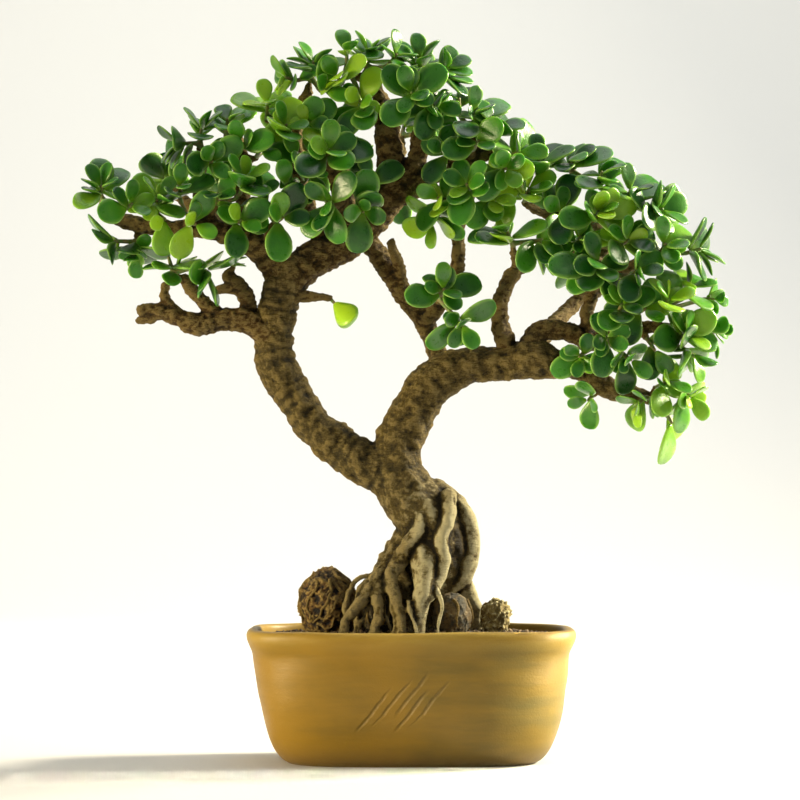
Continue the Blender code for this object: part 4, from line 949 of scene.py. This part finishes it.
def find_leaves(points, near):
    """The leaves of a packed spray, as (frame, own corners). A leaf's two middles have eight neighbours each
    and share its rim's six corners. The frame is the affine map from leaf_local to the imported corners."""
    hubs = [index for index, others in enumerate(near) if len(others) == RIM_CORNERS + 2]
    local = np.column_stack([leaf_local(PACKED_U, PACKED_V, PACKED_W), np.ones(len(PACKED_U))])
    leaves = []
    for number, first in enumerate(hubs):
        for second in hubs[number + 1:]:
            rim = near[first] & near[second]
            if len(rim) != RIM_CORNERS or second in near[first]:
                continue
            seat = (near[first] | near[second]) - rim
            middle = points[list(rim)].mean(axis=0)
            top, bottom = sorted((first, second), key=lambda hub: np.linalg.norm(points[hub] - middle))
            ends = [corner for corner in rim if near[corner] & seat]
            edge = [ends[0]]
            while len(edge) < RIM_CORNERS:
                edge.append(next(corner for corner in near[edge[-1]] & rim if corner not in edge))
            for order in (edge, edge[::-1]):
                shape = np.linalg.lstsq(local, points[[*order, top, bottom]], rcond=None)[0]
                if np.linalg.det(shape[:3]) > 0:
                    leaves.append((shape, {first, second, *rim}))
    return leaves


def leaf_probe_points(shape):
    """Points spread over a leaf, from its neck to its tip, to measure its room by."""
    u, v = np.meshgrid(PROBE_U, PROBE_V, indexing="ij")
    return leaf_local(u, v, 0 * u).reshape(-1, 3) @ shape[:3] + shape[3]


def filled_out(sprays, wood, thickness):
    """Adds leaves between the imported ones, as full as the crown grows: each is a neighbour turned round its
    stem and tilted, and stays only where it is clear of the other leaves, the wood and the open places."""
    draw = np.random.default_rng(11)
    order = [(node, shape) for node, leaves in sprays.items() for shape in leaves]
    taken = np.vstack([leaf_probe_points(shape) for _, shape in order])
    added = {node: [] for node in sprays}
    for size in np.repeat(ADDED_SIZES, TRIES):
        for index in draw.permutation(len(order)):
            node, shape = order[index]
            scale = size * draw.uniform(*SCALE_RANGE)
            turn = math.radians(draw.uniform(*TURN_RANGE))
            tilt = math.radians(draw.uniform(*TILT_RANGE))
            leaf = turned_leaf(shape, scale, turn, tilt, draw.uniform(*SLIDE_RANGE))
            probes = leaf_probe_points(leaf)
            if np.linalg.norm(leaf[0]) < LONGEST_LEAF and has_room(probes, taken, wood, thickness):
                added[node].append(leaf)
                taken = np.vstack([taken, probes])
    return added


def turned_leaf(shape, size, turn, tilt, down):
    """A leaf like the one given: scaled, tilted, turned round its stem and moved down it."""
    along, _, up = unit(shape[:3])
    heading = unit(math.cos(LEAF_LIFT) * along + math.sin(LEAF_LIFT) * up)
    outward = unit(along - heading * (along @ heading))
    hinge = np.cross(outward, heading)
    rows = [rotated(rotated(row * size, hinge, tilt), heading, turn) for row in shape[:3]]
    foot = shape[3] - outward * STEM_RADIUS - heading * down
    return np.vstack([rows, foot + rotated(outward, heading, turn) * STEM_RADIUS * 0.6])


def has_room(probes, taken, wood, thickness):
    """Whether a leaf's probe points keep clear of the other leaves, the wood, the open places and the model's
    box."""
    if (probes < BOX_LOW + BOX_ROOM).any() or (probes > BOX_HIGH - BOX_ROOM).any():
        return False
    x, z = as_seen(probes)
    if any(((x - open_x) ** 2 + (z - open_z) ** 2 < reach**2).any() for open_x, open_z, reach in OPEN_PLACES):
        return False
    near = taken[np.linalg.norm(taken - probes.mean(axis=0), axis=1) < PROBE_REACH]
    if (np.linalg.norm(near[None] - probes[:, None], axis=2) < PROBE_ROOM[:, None]).any():
        return False
    outer = probes[len(PROBE_V):]
    return bool((np.linalg.norm(wood[None] - outer[:, None], axis=2) > thickness + WOOD_ROOM).all())


def rotated(vector, axis, angle):
    """A vector turned round a unit axis: its part along the axis stays, and the rest turns."""
    return (vector * math.cos(angle) + np.cross(axis, vector) * math.sin(angle)
            + axis * (axis @ vector) * (1 - math.cos(angle)))


def fine_leaf(shape, draw):
    """A leaf's corners on rings of ovals, its faces, and where each corner lies along and across it."""
    u, turn = np.meshgrid(RING_U, round_angles(RING_SIDES), indexing="ij")
    v, w = np.cos(turn), np.sin(turn)
    full = np.sqrt(np.clip(np.sin(math.pi * np.clip(u, 0.06, 0.97) ** 0.8), 0.08, 1))
    local = leaf_local(u, v * LEAF_FULLNESS, w * full * LEAF_PLUMPNESS)
    curl, wave = draw.uniform(-0.05, 0.04), draw.uniform(-0.02, 0.02)
    local[..., 2] += curl * u**3 + wave * np.sin(4 * u + 2) * v
    corners = local.reshape(-1, 3) @ shape[:3] + shape[3]
    corners = np.clip(corners, BOX_LOW + BOX_EDGE, BOX_HIGH - BOX_EDGE)
    along = u.ravel()
    return corners, capped_faces(len(RING_U), RING_SIDES), along, np.abs(v).ravel() * (along > 0.1)


def sun_share(point):
    """How much sun shines through a leaf there: highest near the sunlit places as seen from the front."""
    x, z = as_seen(point)
    return max(math.exp(-((x - sun_x) ** 2 + (z - sun_z) ** 2) / (2 * reach**2))
               for sun_x, sun_z, reach in SUNLIT_PLACES)


def find_foot(mesh):
    """The middle of the square face that a packed spray's stem stands on, and the way in from it."""
    bmesh.ops.dissolve_limit(mesh, angle_limit=math.radians(0.5), verts=mesh.verts, edges=mesh.edges)
    for face in mesh.faces:
        sides = [edge.calc_length() / MM for edge in face.edges]
        if len(sides) == 4 and max(abs(side - FOOT_SIDE) for side in sides) < FOOT_TOLERANCE:
            return np.array(face.calc_center_median()) / MM, -np.array(face.normal)
    raise ValueError("a spray has no foot")


def root_bareness_light_and_shade(points):
    """How bare the trunk and its roots are, with painted light and shade: one on the bow of roots at the
    right, whose pale crests also stand for the sunlit side, fading upward and to the left, and below zero, as
    painted shade, in the hollow behind the bow."""
    x, depth, z = points.T
    low = 1 - np.clip((z - BARE_TOP) / BARE_FADE, 0, 1)
    reach = ((x - PAINTED_SHADE_MIDDLE[0]) / PAINTED_SHADE_REACH[0]) ** 2 + ((z - PAINTED_SHADE_MIDDLE[1]) / PAINTED_SHADE_REACH[1]) ** 2
    # Painted shade: a dark patch in the hollow behind the bow, given as a value below zero.
    hollow = np.exp(-reach**2) * np.clip((depth - PAINTED_SHADE_FRONT) / 2, 0, 1)
    # The bare wood grows toward the right, where its pale crests stand for the roots' sunlit side, and the
    # painted shade is taken off it.
    return low * np.clip((x + 6) / 10, 0.15, 1) * (1 - hollow) - hollow


def limb_bareness(points):
    """The other limbs and the twigs aren't bare."""
    return np.zeros(len(points))


def trunk_courses():
    """The courses of the trunk, its two great limbs, the roots and the fine roots at its foot."""
    courses = [(*limb_course(name), *RINGS[name]) for name in GREAT_LIMBS]
    for rows in ROOTS.values():
        points, radii = smooth_run(rows, ROOT_STEP)
        courses.append((off_stones(points, radii, ROOT_GAP), radii, *RINGS["root"]))
    for rows in FINE_ROOTS:
        points, radii = smooth_run(rows, FINE_ROOT_STEP)
        courses.append((off_stones(points, radii * FINE_ROOT_BED, 0.0), radii, *RINGS["fine_root"]))
    return courses


def branch_courses():
    """The courses of the other limbs, and of a twig from the nearest limb into the foot of each spray."""
    cloud, thickness = wood_cloud()
    courses = [(*limb_course(name), *RINGS["branch"]) for name in LIMBS if name not in GREAT_LIMBS]
    widest, at_foot, inside = TWIG_RADII
    for node in spray_nodes():
        mesh, _, _ = spray_corners(node)
        foot, inward = find_foot(mesh)
        mesh.free()
        nearest = int(np.argmin(np.linalg.norm(cloud - foot, axis=1) - thickness))
        course = np.array([cloud[nearest], foot, foot + inward * TWIG_REACH])
        radii = np.array([min(widest, thickness[nearest]), at_foot, inside])
        courses.append((course, radii, *RINGS["twig"]))
    return courses


class BONSAI_OT_wood(bpy.types.Operator):
    """Makes the trunk with its bare roots, and the limbs with their twigs"""

    bl_idname = "bonsai.wood"
    bl_label = "Trunk, roots and limbs"

    def execute(self, context):
        settings = context.scene.bonsai_wood
        trunk = wood_skin("trunk_and_roots", trunk_courses(), settings.trunk_voxel)
        roughened(trunk, seed=3, coarse=0.35, fine=0.13, bareness_and_shade=root_bareness_light_and_shade)
        hand_over(trunk, bark_paint("trunk_bark", settings), "bark", "tree")
        branches = wood_skin("limbs_and_twigs", branch_courses(), settings.limb_voxel)
        roughened(branches, seed=8, coarse=0.25, fine=0.18, bareness_and_shade=limb_bareness)
        hand_over(branches, bark_paint("limb_bark", settings), "bark", "tree")
        return {"FINISHED"}


def spray_nodes():
    return sorted(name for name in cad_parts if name.startswith("spray"))


class BONSAI_OT_leaves(bpy.types.Operator):
    """Makes the leafy sprays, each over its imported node"""

    bl_idname = "bonsai.leaves"
    bl_label = "Leafy sprays"

    def execute(self, context):
        leaf, stem = leaf_paint(context.scene.bonsai_leaf), stem_paint()
        stems, sprays = {}, {}
        for node in spray_nodes():
            stems[node], sprays[node] = parted(node)
        wood, thickness = wood_cloud()
        added = filled_out(sprays, wood, thickness)
        for seed, node in enumerate(stems):
            leaves = sprays[node] + added[node]
            piece, stem_faces = fine_spray("fine_" + node, *stems[node], leaves, np.random.default_rng(seed))
            hand_over(piece, leaf, "leaf", node)
            piece.data.materials.append(stem)
            flags = np.zeros(len(piece.data.polygons), np.int32)
            flags[:stem_faces] = 1
            piece.data.polygons.foreach_set("material_index", flags)
            change = piece.modifiers.new("round", "SUBSURF")
            change.levels = 1
            change.render_levels = 1
        return {"FINISHED"}


def wood_cloud():
    """Points along every limb, and the limb's radius at each."""
    courses = [refined(*limb_course(name), CLOUD_STEP) for name in LIMBS]
    return np.vstack([course[0] for course in courses]), np.concatenate([course[1] for course in courses])


def parted(node):
    """A packed spray's bare stem, as corners and faces, and the frames of its leaves."""
    mesh, points, near = spray_corners(node)
    leaves = find_leaves(points, near)
    own = set().union(*(corners for _, corners in leaves))
    bmesh.ops.delete(mesh, geom=[mesh.verts[index] for index in own], context="VERTS")
    bmesh.ops.holes_fill(mesh, edges=[edge for edge in mesh.edges if edge.is_boundary], sides=8)
    bmesh.ops.join_triangles(mesh, faces=mesh.faces, angle_face_threshold=1.2, angle_shape_threshold=1.2)
    mesh.verts.index_update()
    corners = np.array([corner.co[:] for corner in mesh.verts]) / MM
    faces = [[corner.index for corner in face.verts] for face in mesh.faces]
    mesh.free()
    return (corners, faces), [shape for shape, _ in leaves]


def fine_spray(name, stem, faces, leaves, draw):
    """A spray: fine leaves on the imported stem. Gives the piece and how many of its faces are the stem's."""
    stem_faces, count = len(faces), len(stem)
    corners, faces = [stem], list(faces)
    values = {"light": [np.full(count, 0.5)], "rim": [np.zeros(count)], "along": [np.zeros(count)]}
    for shape in leaves:
        grown, skin, along, across = fine_leaf(shape, draw)
        is_young = np.linalg.norm(shape[0]) < YOUNG_LEAF
        sun = sun_share(shape[3] + 0.5 * shape[0])
        tint = 0.26 + draw.normal(0, 0.18) + 0.55 * sun + 0.10 * is_young
        corners.append(grown)
        faces += [[corner + count for corner in face] for face in skin]
        values["light"].append(np.full(len(grown), np.clip(tint, 0, 1)))
        values["rim"].append(across)
        values["along"].append(along)
        count += len(grown)
    piece = new_piece(name, np.vstack(corners), faces)
    for key, parts in values.items():
        add_values(piece, key, np.concatenate(parts))
    return piece, stem_faces


def plan_reach(across, depth, inset):
    """How far out points lie on the pot's plan: one on its outline there, inset from the rim's."""
    return ((np.abs(across / (RIM_HALF_WIDTH - inset)) ** PLAN_POWER
             + np.abs(depth / (RIM_HALF_DEPTH - inset)) ** PLAN_POWER) ** (1 / PLAN_POWER))


def plan_ring(inset, height, sides):
    """One level of the pot, inset from the rim's outline."""
    angles = (np.arange(sides) + 0.5) * 2 * math.pi / sides
    cosine, sine = np.cos(angles), np.sin(angles)
    reach = (np.abs(cosine) ** PLAN_POWER + np.abs(sine) ** PLAN_POWER) ** (-1 / PLAN_POWER)
    return np.stack([(RIM_HALF_WIDTH - inset) * reach * cosine, (RIM_HALF_DEPTH - inset) * reach * sine,
                     height + 0 * reach], axis=-1)


def pot_grid():
    """The rings of the pot's skin, outside and in, with the slight unevenness of a hand-made pot."""
    profile = np.array(OUTER_SIDE + INNER_SIDE, float)
    steps = np.linspace(0, len(profile) - 1, POT_ROWS)
    span = np.minimum(steps.astype(int), len(profile) - 2)
    line = spline(np.vstack([profile[0], profile, profile[-1]]), span, steps - span)
    line[:, 1] = np.clip(line[:, 1], 0, RIM_HEIGHT)
    points = plan_ring(line[:, :1], line[:, 1:], POT_SIDES).reshape(-1, 3)
    lift = np.clip((points[:, 2] - FLOOR_HEIGHT) / 30, 0, 1)
    sway = ripple(points, 60.0, 21) * 0.45 + ripple(points * (0.4, 0.4, 1.6), 22.0, 22) * 0.16
    outward = points * (1, 1, 0) / np.maximum(np.linalg.norm(points[:, :2], axis=1), 1)[:, None]
    points = points + outward * (sway * lift - POT_SLACK)[:, None]
    sag = np.clip(ripple(points * (1, 1, 0), 55.0, 23), -1, 1)
    points[:, 2] -= sag * POT_SLACK * lift + POT_SLACK * lift
    return points.reshape(POT_ROWS, POT_SIDES, 3)


def drain_cutters(middle):
    """What a drain hole takes away: a round shaft through the floor, and a channel to the foot's back."""
    angles, half = round_angles(HOLE_SIDES), CHANNEL_WIDTH / 2
    circle = np.stack([DRAIN_HOLE_RADIUS * np.cos(angles), DRAIN_HOLE_RADIUS * np.sin(angles)], axis=-1)
    channel = np.array([(-half, 0), (half, 0), (half, RIM_HALF_DEPTH), (-half, RIM_HALF_DEPTH)])
    return [prism(circle + (middle, 0), -CUTTER_REACH, FLOOR_HEIGHT + CUTTER_REACH),
            prism(channel + (middle, 0), -CUTTER_REACH, CHANNEL_DEPTH)]


def cut_away(piece, cutters):
    """Takes the cutters' shapes out of a piece, and then the cutters away."""
    tools = bpy.data.collections.new("cutters")
    for cutter in cutters:
        tools.objects.link(cutter)
    change = piece.modifiers.new("holes", "BOOLEAN")
    change.operation = "DIFFERENCE"
    change.operand_type = "COLLECTION"
    change.collection = tools
    settle(piece)
    for cutter in cutters:
        bpy.data.objects.remove(cutter)
    bpy.data.collections.remove(tools)


class BONSAI_OT_pot(bpy.types.Operator):
    """Makes the glazed pot, with its drain holes and channels"""

    bl_idname = "bonsai.pot"
    bl_label = "Pot"

    def execute(self, context):
        pot = new_piece("glazed_pot", *joined_tubes([pot_grid()]))
        cut_away(pot, [cutter for side in (-1, 1) for cutter in drain_cutters(side * DRAIN_HOLE_X)])
        pot.data.shade_smooth()
        pot.data.set_sharp_from_angle(angle=POT_EDGE_ANGLE)
        hand_over(pot, glaze_paint(context.scene.bonsai_pot), "glaze", "pot")
        return {"FINISHED"}


def prism(outline, low, high):
    """A cutter: a flat outline carried straight up."""
    rings = [np.column_stack([outline, np.full(len(outline), level)]) for level in (low, high)]
    return new_piece("cutter", *joined_tubes([np.array(rings)]), smooth=False)


def soil_height(x, y):
    """How high the soil lies: crowned in the middle, with clods and dips."""
    reach = np.minimum(plan_reach(x, y, SOIL_INSET), 1)
    flat = np.stack([x, y, 0 * x], axis=-1).reshape(-1, 3)
    clods = ripple(flat, 16.0, 31) * 0.5 + ripple(flat, 6.0, 32) * 0.35 + ripple(flat, 3.0, 33) * 0.2
    return (SOIL_EDGE_HEIGHT + SOIL_CROWN * (1 - reach**2)
            + clods.reshape(x.shape) * (1 - reach**6) * CLOD_HEIGHT)


class BONSAI_OT_soil(bpy.types.Operator):
    """Makes the soil and the loose grains on it"""

    bl_idname = "bonsai.soil"
    bl_label = "Soil"

    def execute(self, context):
        outline = plan_ring(SOIL_INSET, 0, SOIL_SIDES)
        x, y = outline[:, :2].T[:, None] * np.linspace(1, 0.01, SOIL_RINGS)[:, None]
        below = [plan_ring(inset, height, SOIL_SIDES) for inset, height in SOIL_UNDERSIDE]
        grid = np.concatenate([below, np.stack([x, y, soil_height(x, y)], axis=-1)])
        soil = new_piece("crumbly_soil", *joined_tubes([grid]))
        hand_over(soil, soil_paint(), "soil", "soil")
        grains = scattered_grains(context.scene.bonsai_pot.grain_count)
        hand_over(grains, grain_paint(), "soil", "soil")
        return {"FINISHED"}


def scattered_grains(count):
    """Loose grains on the soil: a 20-sided ball for each, stretched, turned, dented and strewn by a seed."""
    draw = np.random.default_rng(5)
    ball = bmesh.new()
    bmesh.ops.create_icosphere(ball, subdivisions=1, radius=1)
    corners = np.array([corner.co[:] for corner in ball.verts])
    sides = np.array([[corner.index for corner in face.verts] for face in ball.faces])
    ball.free()
    place = draw.uniform(-1, 1, (count * 2, 2)) * (RIM_HALF_WIDTH - SOIL_INSET, RIM_HALF_DEPTH - SOIL_INSET)
    place = place[plan_reach(*place.T, SOIL_INSET + GRAIN_INSET) < 0.985][:count]
    count = len(place)
    size = draw.uniform(0.45, 1.0, count) ** 2 * GRAIN_SIZE
    shape = draw.uniform(0.65, 1.25, (count, 1, 3)) * size[:, None, None]
    turns = np.linalg.qr(draw.normal(size=(count, 3, 3)))[0]
    turns *= np.linalg.det(turns)[:, None, None]
    dents = draw.uniform(0.8, 1.15, (count, len(corners), 1))
    balls = (corners[None] * dents * shape) @ turns
    height = soil_height(place[:, 0], place[:, 1])
    balls += np.column_stack([place, height + size * 0.25])[:, None]
    faces = sides[None] + np.arange(count)[:, None, None] * len(corners)
    grains = new_piece("soil_grains", balls.reshape(-1, 3), faces.reshape(-1, 3), smooth=False)
    add_values(grains, "kind", np.repeat(draw.uniform(0, 1, count), len(corners)))
    return grains


def stone_surface(ways, stone, seed):
    """A stone's skin in the directions given, round its middle: an ellipsoid sunk by long waves and roughened
    by noise at four sizes, some of it folded at zero, which makes crests."""
    _, half, hollow = STONES[stone]
    wave = np.sin(ways @ (5.1, 2.3, 3.7)) + np.sin(ways @ (-2.9, 6.3, 1.9) + 1)
    wave += np.sin(ways @ (3.3, -4.1, 5.9))
    shape = ways * (1 - hollow * (0.5 + wave / 6))[:, None] * np.array(half)
    rough = 1.0 if hollow > SMOOTH_STONE_HOLLOW else 0.3
    push = 0.55 * ripple(shape, 12.0, seed + 50) - 0.75 * np.abs(ripple(shape, 8.0, seed + 60))
    push += 0.45 * np.abs(ripple(shape, 3.6, seed + 70)) + 0.22 * ripple(shape, 1.9, seed + 80)
    return shape + ways * (rough * (push - 1.0))[:, None]


def clinging_roots(stone, seed, count):
    """Fine roots that wander down a stone's skin from near its top into the soil, as (points, radii)."""
    draw = np.random.default_rng(40 + seed)
    bends = 8
    strands = []
    for _ in range(count):
        polar = np.radians(np.linspace(draw.uniform(4, 48), 118, STRAND_POINTS))
        drift = np.cumsum(draw.normal(0, 1, bends))
        where = np.linspace(0, bends - 1, STRAND_POINTS)
        turn = draw.uniform(0, 2 * math.pi) + 0.22 * np.interp(where, np.arange(bends), drift)
        ways = np.column_stack([np.sin(polar) * np.cos(turn), np.sin(polar) * np.sin(turn), np.cos(polar)])
        radii = np.linspace(draw.uniform(0.8, 1.25), 0.5, STRAND_POINTS)
        points, radii, _ = refined(stone_surface(ways, stone, seed), radii, STRAND_STEP)
        strands.append((points + unit(points) * 0.25 + seen(*STONES[stone][0]), radii))
    return strands


def rough_stone(name, seed):
    """A stone, carved from a fine ball."""
    ball = bmesh.new()
    bmesh.ops.create_icosphere(ball, subdivisions=STONE_SUBDIVISIONS, radius=1)
    mesh = bpy.data.meshes.new(name)
    ball.to_mesh(mesh)
    ball.free()
    mesh.shade_smooth()
    stone = new_object("rough_" + name, mesh)
    ways = corners_of(stone)[0] * MM
    move_corners(stone, stone_surface(ways, name, seed) + seen(*STONES[name][0]))
    add_relief(stone, STONE_PASSES)
    return stone


class BONSAI_OT_stones(bpy.types.Operator):
    """Makes the stones among the roots, and the fine roots that cling to them"""

    bl_idname = "bonsai.stones"
    bl_label = "Stones and fine roots"

    def execute(self, context):
        strands = []
        for seed, (name, (*look, root_count)) in enumerate(STONE_LOOKS.items()):
            hand_over(rough_stone(name, seed), stone_paint(*look), "stone", name)
            strands += clinging_roots(name, seed, root_count)
        angles = round_angles(STRAND_SIDES)
        tubes = [tube_grid(course, radii, angles, 0.0) for course, radii in strands]
        roots = new_piece("fine_roots", *joined_tubes(tubes))
        for key in ("relief", "root"):
            add_values(roots, key, np.full(len(roots.data.vertices), STRAND_WEAR))
        hand_over(roots, bark_paint("root_bark", context.scene.bonsai_wood), "bark")
        return {"FINISHED"}


def make_table():
    """A pale table whose back rises in a round sweep."""
    turn = np.linspace(0, math.pi / 2, 24)
    sweep = np.column_stack([TABLE_BACK + TABLE_RISE * np.sin(turn), TABLE_RISE - TABLE_RISE * np.cos(turn)])
    profile = np.vstack([(TABLE_FRONT, 0.0), sweep, (TABLE_BACK + TABLE_RISE, TABLE_TOP)]) / MM
    across = np.full(len(profile), TABLE_HALF_WIDTH / MM)
    sides = [np.column_stack([side * across, profile]) for side in (-1, 1)]
    rows = np.arange(len(profile) - 1)
    faces = np.column_stack([rows * 2, rows * 2 + 1, rows * 2 + 3, rows * 2 + 2])
    table = new_piece("table", np.stack(sides, axis=1).reshape(-1, 3), faces)
    paint = Paint("pale_table")
    cloth = paint.blend((0.58, 0.58, 0.57), (0.80, 0.80, 0.79), paint.axis("Y").between(0.0, TABLE_BACK))
    table.data.materials.append(paint.finish(Base_Color=cloth, Roughness=0.8))


def make_world():
    """Even light from all round."""
    world = bpy.data.worlds.new("soft_studio")
    world.use_nodes = True
    sockets = world.node_tree.nodes["Background"].inputs
    sockets["Color"].default_value = ROOM_COLOUR
    sockets["Strength"].default_value = ROOM_LIGHT
    return world


def make_camera(settings):
    """A camera in front of the pot, tilted to take in the whole tree."""
    eye = bpy.data.cameras.new("eye")
    camera = new_object("eye", eye)
    aim = AIM_SHARE * settings.view_width + AIM_LIFT
    tilt = math.atan2(aim - settings.eye_height, settings.eye_distance)
    camera.location = (EYE_X * MM, -settings.eye_distance, settings.eye_height)
    camera.rotation_euler = (math.pi / 2 + tilt, 0, 0)
    eye.sensor_width = FILM_WIDTH
    eye.lens = FILM_WIDTH * settings.eye_distance / settings.view_width
    eye.clip_end = FAR_END
    return camera


class BONSAI_OT_stage(bpy.types.Operator):
    """Makes the table, the lights and the camera"""

    bl_idname = "bonsai.stage"
    bl_label = "Table, lights and camera"

    def execute(self, context):
        make_table()
        context.scene.world = make_world()
        for name, lamp in LAMPS.items():
            area_light(name, *lamp)
        context.scene.view_settings.view_transform = "Standard"
        context.scene.camera = make_camera(context.scene.bonsai_stage)
        return {"FINISHED"}


def area_light(name, place, target, size, power, colour, spread):
    """A soft lamp that faces a target, its light spread over an angle in degrees."""
    lamp = bpy.data.lights.new(name, "AREA")
    lamp.size = size
    lamp.energy = power
    lamp.color = colour
    lamp.spread = math.radians(spread)
    made = new_object(name, lamp)
    made.location = place
    way = np.array(target) - np.array(place)
    flat = math.hypot(way[0], way[1])
    made.rotation_euler = (math.atan2(flat, -way[2]), 0, math.atan2(-way[0], way[1]))


class BONSAI_PT_panel(bpy.types.Panel):
    """Lists the bonsai's pieces"""

    bl_idname = "BONSAI_PT_panel"
    bl_label = "Jade Bonsai"
    bl_space_type = "VIEW_3D"
    bl_region_type = "UI"
    bl_category = "Bonsai"

    def draw(self, context):
        for operator in OPERATORS:
            self.layout.operator(operator.bl_idname)
        for name in SETTINGS:
            group = getattr(context.scene, name)
            for field in group.bl_rna.properties:
                if field.identifier not in ("rna_type", "name"):
                    self.layout.prop(group, field.identifier)


SETTINGS = {"bonsai_leaf": BonsaiLeafSettings, "bonsai_wood": BonsaiWoodSettings,
            "bonsai_pot": BonsaiPotSettings, "bonsai_stage": BonsaiStageSettings}
OPERATORS = [BONSAI_OT_stage, BONSAI_OT_pot, BONSAI_OT_soil, BONSAI_OT_stones, BONSAI_OT_wood,
             BONSAI_OT_leaves]


def register():
    for group in (*SETTINGS.values(), *OPERATORS, BONSAI_PT_panel):
        bpy.utils.register_class(group)
    for name, group in SETTINGS.items():
        setattr(bpy.types.Scene, name, bpy.props.PointerProperty(type=group))


def unregister():
    for name in SETTINGS:
        delattr(bpy.types.Scene, name)
    for group in reversed((*SETTINGS.values(), *OPERATORS, BONSAI_PT_panel)):
        bpy.utils.unregister_class(group)


def main():
    register()
    bpy.ops.bonsai.stage()
    bpy.ops.bonsai.pot()
    bpy.ops.bonsai.soil()
    bpy.ops.bonsai.stones()
    bpy.ops.bonsai.wood()
    bpy.ops.bonsai.leaves()


if __name__ == "__main__":
    main()
